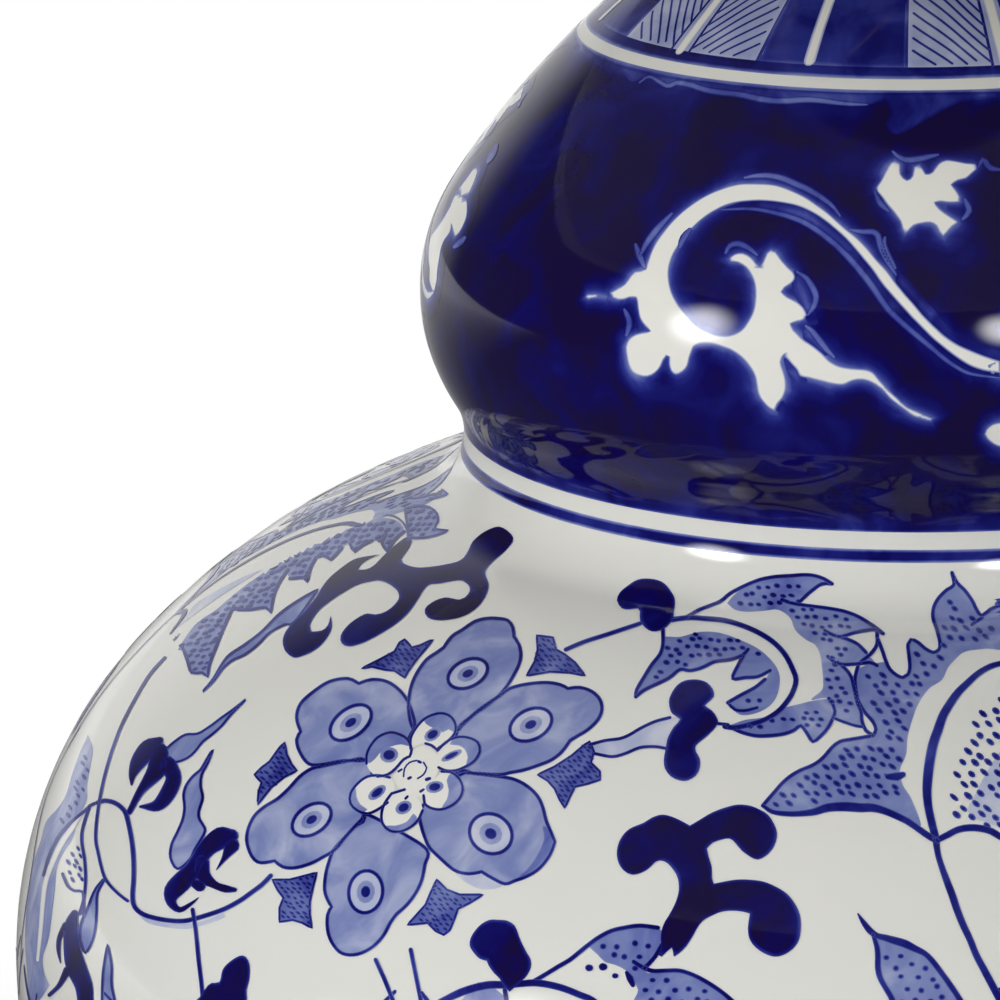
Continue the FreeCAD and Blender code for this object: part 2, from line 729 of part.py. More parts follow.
flutes(check_ring, "knurl", "knurl_radius", "check_ring_radius", "knurl_count")
lift(check_ring, "spacer_top")

# Threaded rod: hollow steel pipe through the whole column, up into the socket cap

turned("threaded_rod", [
    ("rod_bore_radius", "0"),
    ("rod_radius", "0"),
    ("rod_radius", "saddle_bottom + saddle_thickness + rod_entry - rod_bottom"),
    ("rod_bore_radius", "saddle_bottom + saddle_thickness + rod_entry - rod_bottom"),
], height="rod_bottom")

# Harp saddle: a bent brass strip with a tab at each end

saddle = new_body("harp_saddle")
half_width = "saddle_width / 2"
inner_span = "saddle_half_span - saddle_thickness"


def pad_middle(body, sketch, name, length):
    """Pad a sketch evenly to both sides of its plane."""
    pad = body.newObject("PartDesign::Pad", name)
    pad.Profile = sketch
    pad.setExpression("Length", full(length))
    pad.Midplane = True
    sketch.Visibility = False
    doc.recompute()
    return pad


def signed(sketch, point, x, z):
    """Place a point at (x, z), where x may be written with a leading minus sign."""
    if x.startswith("-"):
        dimension(sketch, "DistanceX", point + (-1, 1), x[1:])
        if z == "0":
            sketch.addConstraint(Sketcher.Constraint("PointOnObject", *point, -1))
        else:
            dimension(sketch, "DistanceY", (-1, 1) + point, z)
    else:
        place_point(sketch, point, x, z)


def polygon(sketch, points):
    """Closed outline of straight sides on either side of the Z axis."""
    corners = [(value(x), value(z)) for x, z in points]
    count = len(points)
    for side in range(count):
        sketch.addGeometry(line(corners[side], corners[(side + 1) % count]))
    for side in range(count):
        sketch.addConstraint(Sketcher.Constraint("Coincident", side, 2, (side + 1) % count, 1))
        signed(sketch, (side, 1), *points[side])


strip = new_sketch(saddle, "strip_outline")
polygon(strip, [
    ("-(saddle_half_span)", "0"), ("saddle_half_span", "0"),
    ("saddle_half_span", "saddle_shoulder"), (inner_span, "saddle_shoulder"),
    (inner_span, "saddle_thickness"), (f"-({inner_span})", "saddle_thickness"),
    (f"-({inner_span})", "saddle_shoulder"), ("-(saddle_half_span)", "saddle_shoulder"),
])
pad_middle(saddle, strip, "strip", "saddle_width")
for side, mark in (("right", ""), ("left", "-")):
    tab = new_sketch(saddle, side + "_tab_outline")
    ends = [("saddle_half_span", "0"), ("saddle_half_span", "tab_height"),
            (inner_span, "tab_height"), (inner_span, "0")]
    polygon(tab, [(mark + f"({x})" if mark else x, z) for x, z in ends])
    pad_middle(saddle, tab, side + "_tab", "tab_width")
circle_cut(saddle, "saddle_hole", "XY_Plane", ("0", "0"), "rod_hole_radius", "saddle_thickness",
           True)
lift(saddle, "saddle_bottom")

# Socket cap: drawn brass cup screwed on the rod's end

socket_cap = turned("socket_cap", [
    ("rod_radius + running_fit", "0"),
    ("socket_hub_radius", "0"),
    ("socket_hub_radius", "socket_hub_height"),
    ("socket_radius", "socket_flare_height"),
    ("socket_radius", "socket_cap_height"),
    ("socket_radius - socket_cap_wall", "socket_cap_height"),
    ("socket_radius - socket_cap_wall", "socket_flare_height + socket_cap_wall"),
    ("socket_hub_radius", "socket_hub_height + socket_floor"),
    ("rod_radius + running_fit", "socket_hub_height + socket_floor"),
], {2: -flare_sweep, 6: flare_sweep}, "socket_bottom")
set_screw = turned("cap_set_screw", [
    ("0", "0"),
    ("set_screw_radius", "0"),
    ("set_screw_radius", "socket_hub_radius - rod_radius - seam_gap"),
    ("set_screw_head_radius", "socket_hub_radius - rod_radius - seam_gap"),
    ("set_screw_head_radius", "socket_hub_radius - rod_radius + set_screw_head"),
    ("0", "socket_hub_radius - rod_radius + set_screw_head"),
])
facing(set_screw, (1, 0, 0), -90)
lift(set_screw, "socket_bottom + set_screw_height", y="rod_radius + seam_gap")
cross_cut(socket_cap, "set_screw_hole", "+Y", "set_screw_radius + seam_gap", "set_screw_height",
          "rod_radius", "socket_hub_radius")

# Socket interior: moulded phenolic block with the switch inside, on a boss in the cap

interior_round = "interior_boss_height + interior_height"
interior = turned("socket_interior", [
    ("0", "0"),
    ("interior_boss_radius", "0"),
    ("interior_boss_radius", "interior_boss_height"),
    ("interior_radius", "interior_boss_height"),
    ("interior_radius", interior_round),
    ("0", interior_round),
], height="interior_bottom")
cross_cut(interior, "switch_bore", "-Y", "shaft_radius + running_fit", "switch_height",
          "interior_radius - switch_bore_depth", "interior_radius")
for toward in ("+X", "-X"):
    label = "terminal_screw_" + ("right" if toward == "+X" else "left")
    cross_cut(interior, label + "_seat", toward, "terminal_head_radius + moving_gap",
              "terminal_height", "terminal_seat", "interior_radius")
    cross_cut(interior, label + "_hole", toward, "terminal_shank_radius + seam_gap",
              "terminal_height", "terminal_seat - terminal_shank_length", "interior_radius")
    screw = turned(label, [
        ("0", "0"),
        ("terminal_shank_radius", "0"),
        ("terminal_shank_radius", "terminal_shank_length"),
        ("terminal_head_radius", "terminal_shank_length"),
        ("terminal_head_radius", "terminal_shank_length + terminal_head_height"),
        ("0", "terminal_shank_length + terminal_head_height"),
    ])
    facing(screw, (0, 1, 0), 90 if toward == "+X" else -90)
    reach = "terminal_seat - terminal_shank_length"
    lift(screw, "interior_bottom + terminal_height", x=reach if toward == "+X" else f"-({reach})")

# Screw shell and centre contact: drawn metal cup for the bulb, and a spring leaf in its
# narrower foot

screw_outer = "bulb_bore_radius + screw_shell_wall"
foot_outer = "screw_shell_foot_radius + screw_shell_wall"
shell_step = "(bulb_bore_radius - screw_shell_foot_radius)"
turned("screw_shell", [
    ("contact_hole_radius", "0"),
    (foot_outer, "0"),
    (foot_outer, "screw_shell_foot_height"),
    (screw_outer, f"screw_shell_foot_height + {shell_step}"),
    (screw_outer, "screw_shell_height"),
    ("bulb_bore_radius", "screw_shell_height"),
    ("bulb_bore_radius", f"screw_shell_foot_height + {shell_step}"),
    ("screw_shell_foot_radius", "screw_shell_foot_height"),
    ("screw_shell_foot_radius", "screw_shell_wall"),
    ("contact_hole_radius", "screw_shell_wall"),
], height="interior_top")
contact = new_body("centre_contact")
leaf = new_sketch(contact, "leaf_outline")
polygon(leaf, [
    ("-(contact_length / 2)", "0"), ("0", "0"), ("contact_length / 2", "contact_rise"),
    ("contact_length / 2", "contact_rise + contact_thickness"), ("0", "contact_thickness"),
    ("-(contact_length / 2)", "contact_thickness"),
])
pad_middle(contact, leaf, "leaf", "contact_width")
lift(contact, "interior_top")

# Insulating sleeve: a card tube between the live parts and the brass shell

sleeve = turned("insulating_sleeve", [
    ("sleeve_radius - sleeve_wall", "0"),
    ("sleeve_radius", "0"),
    ("sleeve_radius", "shell_length - sleeve_setback"),
    ("sleeve_radius - sleeve_wall", "shell_length - sleeve_setback"),
], height="shell_bottom")
cross_cut(sleeve, "sleeve_hole", "-Y", "shaft_radius + 2 * moving_gap", "shaft_height - shell_bottom",
          "sleeve_radius / 2", "sleeve_radius")

# Socket shell: drawn brass tube with a rolled mouth, pushed into the cap

shell = turned("socket_shell", [
    ("shell_radius - shell_wall", "0"),
    ("shell_radius", "0"),
    ("shell_radius", "shell_length - shell_bead"),
    ("shell_radius", "shell_length"),
    ("shell_radius - shell_wall", "shell_length"),
], {2: rolled_edge}, "shell_bottom")
cross_cut(shell, "shell_hole", "-Y", "shaft_radius + 2 * moving_gap", "shaft_height - shell_bottom",
          "shell_radius / 2", "shell_radius")

# Turn knob: a fluted plastic knob on a brass shaft that works the switch

shaft = turned("switch_shaft", [
    ("0", "0"),
    ("shaft_radius", "0"),
    ("shaft_radius", "knob_start + knob_bore_depth - shaft_start - moving_gap"),
    ("0", "knob_start + knob_bore_depth - shaft_start - moving_gap"),
])
facing(shaft, (1, 0, 0), 90)
lift(shaft, "shaft_height", y="-shaft_start")
knob = turned("switch_knob", [
    ("shaft_radius + seam_gap", "0"),
    ("knob_neck_radius", "0"),
    ("knob_neck_radius", "knob_neck_length"),
    ("knob_radius", "knob_neck_length + knob_round"),
    ("knob_radius", "knob_length - knob_round"),
    ("knob_radius - knob_round", "knob_length"),
    ("0", "knob_length"),
    ("0", "knob_bore_depth"),
    ("shaft_radius + seam_gap", "knob_bore_depth"),
], {4: edge_round})
flutes(knob, "flute", "knob_flute_radius", "knob_radius + knob_flute_radius / 2", "knob_flutes",
       "knob_neck_length + knob_round")
facing(knob, (1, 0, 0), 90)
lift(knob, "shaft_height", y="-knob_start")

# Harp: one brass-plated wire bent to a pear shape, its feet cut flat against the saddle's tabs

harp = new_body("harp")
spine = new_sketch(harp, "harp_path")
leg = value("leg_offset")
straight = value("harp_straight")
foot_arc = value("harp_foot_arc")
side_arc = value("harp_side_arc")
crown_arc = value("harp_crown_arc")
wide = value("harp_half_width")
crown = value("harp_height - harp_foot_height")
lean = math.acos(1 - (wide - leg) / (foot_arc + side_arc))
widest = straight + (foot_arc + side_arc) * math.sin(lean)
above = crown - widest
upper_arc = (wide ** 2 + above ** 2 - 2 * above * crown_arc) / (2 * (wide - crown_arc))
foot_centre = (leg + foot_arc, straight)
side_centre = (wide - side_arc, widest)
upper_centre = (wide - upper_arc, widest)
crown_centre = (0, crown - crown_arc)
bend = (foot_centre[0] - foot_arc * math.cos(lean), straight + foot_arc * math.sin(lean))
share = upper_arc / (upper_arc - crown_arc)
shoulder_point = tuple(a + share * (b - a) for a, b in zip(upper_centre, crown_centre))
spine.addGeometry(line((leg, 0), (leg, straight)))
spine.addGeometry(arc_about(foot_centre, foot_arc, (leg, straight), bend, False))
spine.addGeometry(arc_about(side_centre, side_arc, bend, (wide, widest), True))
spine.addGeometry(arc_about(upper_centre, upper_arc, (wide, widest), shoulder_point, True))
spine.addGeometry(arc_about(crown_centre, crown_arc, shoulder_point, (0, crown), True))
for last_point, first_point in (((0, 2), (1, 2)), ((1, 1), (2, 1)), ((2, 2), (3, 1)),
                                ((3, 2), (4, 1))):
    spine.addConstraint(Sketcher.Constraint("Tangent", *last_point, *first_point))
place_point(spine, (0, 1), "leg_offset", "0")
spine.addConstraint(Sketcher.Constraint("Vertical", 0))
dimension(spine, "DistanceY", (0, 1, 0, 2), "harp_straight")
dimension(spine, "Radius", (1,), "harp_foot_arc")
dimension(spine, "Radius", (2,), "harp_side_arc")
dimension(spine, "Radius", (4,), "harp_crown_arc")
dimension(spine, "DistanceX", (-1, 1, 2, 2), "harp_half_width")
spine.addConstraint(Sketcher.Constraint("Horizontal", 3, 3, 3, 1))
place_point(spine, (4, 2), "0", "harp_height - harp_foot_height")
spine.addConstraint(Sketcher.Constraint("PointOnObject", 4, 3, -2))


def wire(body, name, path, at, radius):
    """Round wire along a path sketch that leaves the XY plane at the given radius."""
    section = new_sketch(body, name + "_section", "XY_Plane")
    section.addGeometry(Part.Circle(FreeCAD.Vector(value(at), 0, 0), FreeCAD.Vector(0, 0, 1),
                                    value(radius)))
    place_point(section, (0, 3), at, "0")
    dimension(section, "Radius", (0,), radius)
    pipe = body.newObject("PartDesign::AdditivePipe", name)
    pipe.Profile = section
    pipe.Spine = (path, [f"Edge{k + 1}" for k in range(path.GeometryCount)])
    section.Visibility = False
    path.Visibility = False
    doc.recompute()
    return pipe


half_harp = wire(harp, "harp_wire", spine, "leg_offset", "harp_wire_radius")
whole_harp = harp.newObject("PartDesign::Mirrored", "harp_halves")
whole_harp.Originals = [half_harp]
whole_harp.MirrorPlane = (origin_part(harp, "YZ_Plane"), [""])
harp.Tip = whole_harp
doc.recompute()


def block_cut(body, name, half_span, low, high):
    """Cut away everything within half_span of the YZ plane, between two heights."""
    before = body.Shape.Volume
    sketch = new_sketch(body, name)
    polygon(sketch, [(f"-({half_span})", low), (half_span, low),
                     (half_span, high), (f"-({half_span})", high)])
    pocket = body.newObject("PartDesign::Pocket", name + "_cut")
    pocket.Profile = sketch
    pocket.Midplane = True
    pocket.setExpression("Length", full("6 * harp_wire_radius"))
    doc.recompute()
    if not body.Shape.Volume < before - 1e-3:
        raise ValueError(name + " cuts nothing")


block_cut(harp, "harp_feet", "leg_offset - harp_wire_radius + harp_flat_depth", "0",
          "tab_height + moving_gap - harp_foot_height")
block_cut(harp, "harp_crown_flat", "seat_radius + moving_gap",
          "harp_height - harp_foot_height + harp_wire_radius - harp_top_flat",
          "harp_height - harp_foot_height + 2 * harp_wire_radius")
lift(harp, "saddle_bottom + harp_foot_height")

# Ferrules: brass sleeves that lock the harp's feet to the tabs, and slide up to free them

for side in (1, -1):
    ferrule = turned("harp_ferrule_" + ("right" if side == 1 else "left"), [
        ("ferrule_bore", "0"),
        ("ferrule_bore + ferrule_wall", "0"),
        ("ferrule_bore + ferrule_wall", "ferrule_height - ferrule_wall"),
        ("ferrule_bore", "ferrule_height"),
        ("harp_wire_radius + running_fit", "ferrule_height"),
        ("harp_wire_radius + running_fit", "ferrule_height - ferrule_collar"),
        ("ferrule_bore", "ferrule_height - ferrule_collar"),
    ], {2: edge_round})
    lift(ferrule, "saddle_bottom + saddle_shoulder + moving_gap",
         x="leg_offset" if side == 1 else "-leg_offset")

# Shade stud: a brass seat and threaded post riveted on the harp's crown

turned("harp_stud", [
    ("0", "0"),
    ("seat_radius", "0"),
    ("seat_radius", "seat_thickness"),
    ("stud_radius", "seat_thickness"),
    ("stud_radius", "seat_thickness + stud_height - stud_chamfer"),
    ("stud_radius - stud_chamfer", "seat_thickness + stud_height"),
    ("0", "seat_thickness + stud_height"),
], height="seat_bottom")

# Shade spider: washer hub, wire arms and top ring welded into one frame

spider = turned("shade_spider", [
    ("spider_hole_radius", "0"),
    ("spider_hub_radius", "0"),
    ("spider_hub_radius", "spider_hub_thickness"),
    ("spider_hole_radius", "spider_hub_thickness"),
])


def ring(body, name, radius, height):
    """Round wire ring about the Z axis."""
    sketch = new_sketch(body, name + "_section")
    sketch.addGeometry(Part.Circle(FreeCAD.Vector(value(radius), value(height), 0),
                                   FreeCAD.Vector(0, 0, 1), value("ring_wire_radius")))
    place_point(sketch, (0, 3), radius, height)
    dimension(sketch, "Radius", (0,), "ring_wire_radius")
    return revolve(body, sketch)


arm_path = new_sketch(spider, "arm_path")
arm_root = (value("spider_hub_radius - 2 * spider_wire_radius"), value("spider_hub_thickness / 2"))
arm_end = value("top_ring_radius")
corner = value("spider_bend")
arm_path.addGeometry(line(arm_root, (arm_end - corner, arm_root[1])))
arm_path.addGeometry(arc_about((arm_end - corner, arm_root[1] + corner), corner,
                               (arm_end - corner, arm_root[1]), (arm_end, arm_root[1] + corner),
                               True))
arm_path.addGeometry(line((arm_end, arm_root[1] + corner), (arm_end, value("top_ring_height"))))
arm_path.addConstraint(Sketcher.Constraint("Tangent", 0, 2, 1, 1))
arm_path.addConstraint(Sketcher.Constraint("Tangent", 1, 2, 2, 1))
arm_path.addConstraint(Sketcher.Constraint("Horizontal", 0))
arm_path.addConstraint(Sketcher.Constraint("Vertical", 2))
place_point(arm_path, (0, 1), "spider_hub_radius - 2 * spider_wire_radius",
            "spider_hub_thickness / 2")
place_point(arm_path, (2, 2), "top_ring_radius", "top_ring_height")
dimension(arm_path, "Radius", (1,), "spider_bend")
arm_section = new_sketch(spider, "arm_section", "YZ_Plane")
arm_section.addGeometry(Part.Circle(FreeCAD.Vector(0, arm_root[1], 0), FreeCAD.Vector(0, 0, 1),
                                    value("spider_wire_radius")))
place_point(arm_section, (0, 3), "0", "spider_hub_thickness / 2")
dimension(arm_section, "Radius", (0,), "spider_wire_radius")
arm_section.setExpression(".AttachmentOffset.Base.z",
                          full("spider_hub_radius - 2 * spider_wire_radius"))
arm = spider.newObject("PartDesign::AdditivePipe", "arm")
arm.Profile = arm_section
arm.Spine = (arm_path, ["Edge1", "Edge2", "Edge3"])
doc.recompute()
arms = spider.newObject("PartDesign::PolarPattern", "arms")
arms.Originals = [arm]
arms.Axis = (origin_part(spider, "Z_Axis"), [""])
arms.Angle = 360
arms.setExpression("Occurrences", full("spider_arms"))
spider.Tip = arms
doc.recompute()
ring(spider, "top_ring", "top_ring_radius", "top_ring_height")
facing(spider, (0, 0, 1), 90)
lift(spider, "spider_bottom")

# Bottom ring: a free wire ring inside the shade's lower edge

bottom_ring = new_body("shade_bottom_ring")
ring(bottom_ring, "bottom_ring", "bottom_ring_radius", "ring_edge")
lift(bottom_ring, "shade_bottom")

# Hard-back shade: fabric laminated on a styrene liner, both cut as one tapered band


def band(label, outer, wall):
    """Tapered tube of the shade, outer being its set-in from the shade's outside."""
    turned(label, [
        (f"shade_bottom_radius - {outer} - {wall}", "0"),
        (f"shade_bottom_radius - {outer}", "0"),
        (f"shade_top_radius - {outer}", "shade_height"),
        (f"shade_top_radius - {outer} - {wall}", "shade_height"),
    ], height="shade_bottom")


band("shade_liner", "(fabric_wall + glue_gap)", "liner_wall")
band("shade_fabric", "0", "fabric_wall")


def trim(label, edge, way):
    """Folded tape over an edge of the shade. way is + above the edge or - below it."""
    far = f"({edge} {'-' if way == '+' else '+'} trim_width)"
    fold = f"({edge} {way} glue_gap)"
    over = f"({edge} {way} (glue_gap + trim_wall))"

    def at(radius, height):
        return (f"shade_bottom_radius + {radius} - shade_taper * {height}", height)

    outer_face = "(glue_gap + trim_wall)"
    outer_side = "glue_gap"
    inner_side = "(0 - fabric_wall - liner_wall - 2 * glue_gap)"
    inner_face = "(0 - fabric_wall - liner_wall - 2 * glue_gap - trim_wall)"
    turned(label, [
        at(inner_face, far), at(inner_side, far), at(inner_side, fold), at(outer_side, fold),
        at(outer_side, far), at(outer_face, far), at(outer_face, over), at(inner_face, over),
    ], height="shade_bottom")


trim("shade_top_trim", "shade_height", "+")
trim("shade_bottom_trim", "0", "-")

# Finial: a threaded brass base with a brass ball pressed on, screwed down on the stud

turned("finial_base", [
    ("stud_radius + running_fit", "0"),
    ("finial_foot_radius", "0"),
    ("finial_foot_radius", "finial_foot_height"),
    ("finial_neck_radius", "finial_foot_height + finial_cove"),
    ("finial_neck_radius", "finial_neck_height"),
    ("finial_cup_radius", "finial_height"),
    ("0", "finial_height"),
    ("0", "finial_bore_depth"),
    ("stud_radius + running_fit", "finial_bore_depth"),
], {2: deep_cove, 4: -flare_sweep}, "finial_bottom")
ball = doc.addObject("Part::Sphere", "ball")
ball.setExpression("Radius", full("ball_radius"))
ball.setExpression("Angle1", full("-acos(ball_seat_radius / ball_radius)"))
lift(ball, "finial_bottom + finial_height + ball_centre")
tip = doc.addObject("Part::Sphere", "tip")
tip.setExpression("Radius", full("tip_radius"))
lift(tip, "finial_bottom + finial_height + ball_centre + ball_radius")
finial_ball = doc.addObject("Part::Fuse", "finial_ball")
finial_ball.Label = "finial_ball"
finial_ball.Base = ball
finial_ball.Tool = tip
pieces.append(finial_ball)

# Check the whole document, then write each piece to its own file

doc.recompute()
for item in doc.Objects:
    if "Invalid" in item.State or "Error" in item.State:
        raise ValueError(item.Name + " failed")
for piece in pieces:
    if piece.Shape.isNull() or not piece.Shape.isValid() or not piece.Shape.Solids:
        raise ValueError(piece.Label + " has no valid solid")
os.makedirs("parts", exist_ok=True)
for piece in pieces:
    piece.Shape.exportStep(f"parts/{piece.Label}.step")
print(len(pieces), "pieces written")
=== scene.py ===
import math
import random

import bpy
import numpy as np
from mathutils import Matrix, Vector
from mathutils.geometry import delaunay_2d_cdt


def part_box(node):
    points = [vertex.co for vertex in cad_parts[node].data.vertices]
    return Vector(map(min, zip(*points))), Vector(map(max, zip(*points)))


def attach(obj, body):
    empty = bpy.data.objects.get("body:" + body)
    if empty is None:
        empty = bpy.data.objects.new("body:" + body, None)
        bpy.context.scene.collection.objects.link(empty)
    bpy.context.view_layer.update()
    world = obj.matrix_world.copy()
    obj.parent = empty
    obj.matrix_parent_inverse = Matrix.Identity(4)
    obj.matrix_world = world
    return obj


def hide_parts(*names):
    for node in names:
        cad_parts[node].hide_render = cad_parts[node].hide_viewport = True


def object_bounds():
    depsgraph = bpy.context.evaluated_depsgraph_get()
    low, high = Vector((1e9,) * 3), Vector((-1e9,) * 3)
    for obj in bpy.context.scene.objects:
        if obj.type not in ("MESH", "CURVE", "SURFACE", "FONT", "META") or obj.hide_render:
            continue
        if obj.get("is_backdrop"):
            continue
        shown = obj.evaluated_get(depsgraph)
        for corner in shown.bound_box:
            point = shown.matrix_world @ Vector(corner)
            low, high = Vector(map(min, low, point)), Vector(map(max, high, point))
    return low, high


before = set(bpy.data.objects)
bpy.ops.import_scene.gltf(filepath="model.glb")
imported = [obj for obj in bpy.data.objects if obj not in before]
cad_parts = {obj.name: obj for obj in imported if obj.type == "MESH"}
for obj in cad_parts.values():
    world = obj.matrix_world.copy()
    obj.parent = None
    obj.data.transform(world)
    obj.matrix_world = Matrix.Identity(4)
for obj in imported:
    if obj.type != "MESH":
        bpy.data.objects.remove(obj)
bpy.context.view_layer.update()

# Camera: a long lens close to the shoulder of the body, tilted a little, as photographed.

camera_data = bpy.data.cameras.new("camera")
camera_data.lens, camera_data.sensor_width = 216, 36
camera_data.clip_start, camera_data.clip_end = 0.05, 50
photo_width = 1000
lens_pixels = camera_data.lens / camera_data.sensor_width * photo_width
camera = bpy.data.objects.new("camera", camera_data)
bpy.context.collection.objects.link(camera)
camera.location = (0, -0.81135, 0.41108)
tilt_down, turn_left, roll = math.radians(14.767), math.radians(-4.137), math.radians(-1.085)
look = Vector((math.sin(turn_left) * math.cos(tilt_down),
               math.cos(turn_left) * math.cos(tilt_down), -math.sin(tilt_down)))
level_side = look.cross(Vector((0, 0, 1))).normalized()
level_up = level_side.cross(look)
turned_side = level_side * math.cos(roll) + level_up * math.sin(roll)
turned_up = level_up * math.cos(roll) - level_side * math.sin(roll)
camera.rotation_euler = Matrix((turned_side, turned_up, -look)).transposed().to_euler()
bpy.context.scene.camera = camera
bpy.context.scene.view_settings.view_transform = "Standard"

# Porcelain body: a double gourd cast in one piece, hollow, with an even 6 mm wall, dipped
# in a clear glaze. Its outline is one run of arcs from the foot to the mouth.

MM = 0.001
wall = 6 * MM
body_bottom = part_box("porcelain_body")[0].z
foot_radius, foot_height = 70 * MM, 8 * MM
foot_ring, foot_recess, floor_top, floor_hole = 10 * MM, 5 * MM, 12 * MM, 8 * MM
belly_radius, belly_height = 128.1 * MM, 102 * MM
belly_arc, belly_arc_rise = 57 * MM, 38.6 * MM
shoulder_arc = 91.5 * MM
waist_radius, waist_arc = 63.35 * MM, 10 * MM
bulb_radius, bulb_arc, bulb_arc_rise = 69 * MM, 26.5 * MM, 14.8 * MM
collar_arc = 131 * MM
neck_radius, neck_arc, neck_length = 27.5 * MM, 20 * MM, 38 * MM
mouth_arc, mouth_rise = 18 * MM, 12 * MM
inner_floor_radius, inner_mouth_radius = 64.5 * MM, 24.7 * MM
outer_step, inner_step, around = 1.1 * MM, 6 * MM, 224
glaze_ripple = 55.0, 0.06 * MM


def gourd_arcs():
    """Arcs up the outside of the body: centre radius, centre height, radius, two angles."""
    foot_run = belly_radius - foot_radius
    belly_rise = belly_height - foot_height
    lower_arc = (belly_rise ** 2 + foot_run ** 2) / (2 * foot_run)
    lower = (belly_radius - lower_arc, belly_height)
    belly = (belly_radius - belly_arc, belly_height)
    shoulder_start = math.asin(belly_arc_rise / belly_arc)
    inner = shoulder_arc - belly_arc
    shoulder = (belly[0] - inner * math.cos(shoulder_start),
                belly[1] - inner * math.sin(shoulder_start))
    waist_out = waist_radius + waist_arc
    run = waist_out - shoulder[0]
    waist = (waist_out, shoulder[1] + math.sqrt((shoulder_arc + waist_arc) ** 2 - run ** 2))
    waist_start = math.atan2(waist[1] - shoulder[1], run)
    run = bulb_radius - bulb_arc - waist_out
    bulb = (bulb_radius - bulb_arc,
            waist[1] + math.sqrt((waist_arc + bulb_arc) ** 2 - run ** 2))
    waist_end = math.atan2(bulb[1] - waist[1], run)
    bulb_end = math.asin(bulb_arc_rise / bulb_arc)
    inner = collar_arc - bulb_arc
    collar = (bulb[0] - inner * math.cos(bulb_end), bulb[1] - inner * math.sin(bulb_end))
    neck_out = neck_radius + neck_arc
    run = neck_out - collar[0]
    neck = (neck_out, collar[1] + math.sqrt((collar_arc + neck_arc) ** 2 - run ** 2))
    neck_start = math.atan2(neck[1] - collar[1], run)
    mouth = (neck_radius + mouth_arc, neck[1] + neck_length)
    half_turn = math.pi
    return [
        (*lower, lower_arc, math.atan2(-belly_rise, foot_radius - lower[0]), 0),
        (*belly, belly_arc, 0, shoulder_start),
        (*shoulder, shoulder_arc, shoulder_start, waist_start),
        (*waist, waist_arc, waist_start + half_turn, waist_end),
        (*bulb, bulb_arc, waist_end - half_turn, bulb_end),
        (*collar, collar_arc, bulb_end, neck_start),
        (*neck, neck_arc, neck_start + half_turn, half_turn),
        (*mouth, mouth_arc, half_turn, half_turn - math.asin(mouth_rise / mouth_arc)),
    ]


def gourd_outline(inset, step):
    """Points (radius, height) up the body's side, inset from its outside."""
    points = [(foot_radius - inset, body_bottom)]
    for centre_r, centre_z, radius, start, end in gourd_arcs():
        hollow = -inset if end > start else inset
        count = max(3, math.ceil(abs(end - start) * radius / step))
        for i in range(count + 1):
            turn = start + (end - start) * i / count
            point = (centre_r + (radius + hollow) * math.cos(turn),
                     body_bottom + centre_z + (radius + hollow) * math.sin(turn))
            if math.dist(point, points[-1]) > 1e-6:
                points.append(point)
    return points


def new_piece(name, verts, faces):
    """Object with a smooth mesh of its own, put in the scene."""
    mesh = bpy.data.meshes.new(name)
    mesh.from_pydata(verts, [], faces)
    mesh.shade_smooth()
    piece = bpy.data.objects.new(name, mesh)
    bpy.context.collection.objects.link(piece)
    return piece


def turned_skin(name, outline, around):
    """Closed surface of revolution about the lamp's axis through the outline's points."""
    rings = len(outline)
    verts = [(r * math.cos(math.tau * k / around), r * math.sin(math.tau * k / around), z)
             for r, z in outline for k in range(around)]
    faces = []
    for i in range(rings):
        for k in range(around):
            a, b = i * around, (i + 1) % rings * around
            faces.append((a + k, a + (k + 1) % around, b + (k + 1) % around, b + k))
    return new_piece(name, verts, faces)


def feed(tree, socket, value):
    """Gives a node's input a value, or links another node's output to it."""
    if isinstance(value, bpy.types.NodeSocket):
        tree.links.new(value, socket)
    else:
        socket.default_value = value


def add_node(tree, kind, **values):
    """New node; each value goes to the input, or else to the setting, of its name."""
    node = tree.nodes.new(kind)
    for name, value in values.items():
        socket = node.inputs.get(name.replace("_", " ").title())
        if socket is None:
            setattr(node, name, value)
        else:
            feed(tree, socket, value)
    return node


def noise_on(tree, scale, detail=2.0, stretch=(1, 1, 1)):
    """Noise on the piece's own coordinates."""
    where = add_node(tree, "ShaderNodeTexCoord")
    place = add_node(tree, "ShaderNodeMapping", vector=where.outputs["Object"], scale=stretch)
    noise = add_node(tree, "ShaderNodeTexNoise", vector=place.outputs["Vector"],
                     scale=scale, detail=detail)
    return noise.outputs["Fac"]


def toned(tree, shader, amount, stops):
    """Colour of the shader: tones that an amount from 0 to 1 picks along a ramp."""
    ramp = add_node(tree, "ShaderNodeValToRGB", fac=amount)
    tones = ramp.color_ramp.elements
    while len(tones) < len(stops):
        tones.new(0.5)
    for tone, (position, colour) in zip(tones, stops):
        tone.position, tone.color = position, (*colour, 1)
    tree.links.new(ramp.outputs["Color"], shader.inputs["Base Color"])


def finish_of(name, colour, roughness, metallic=0.0, specular=0.5):
    """New material with one shader: returns the material, its node tree and the shader."""
    material = bpy.data.materials.new(name)
    material.use_nodes = True
    tree = material.node_tree
    shader = tree.nodes["Principled BSDF"]
    shader.inputs["Base Color"].default_value = (*colour, 1)
    shader.inputs["Roughness"].default_value = roughness
    shader.inputs["Metallic"].default_value = metallic
    shader.inputs["Specular IOR Level"].default_value = specular
    return material, tree, shader


def mottle(tree, shader, light, dark, scale, detail=4.0, stretch=(1, 1, 1)):
    """Colour that drifts between two tones."""
    toned(tree, shader, noise_on(tree, scale, detail, stretch), [(0.3, dark), (0.7, light)])


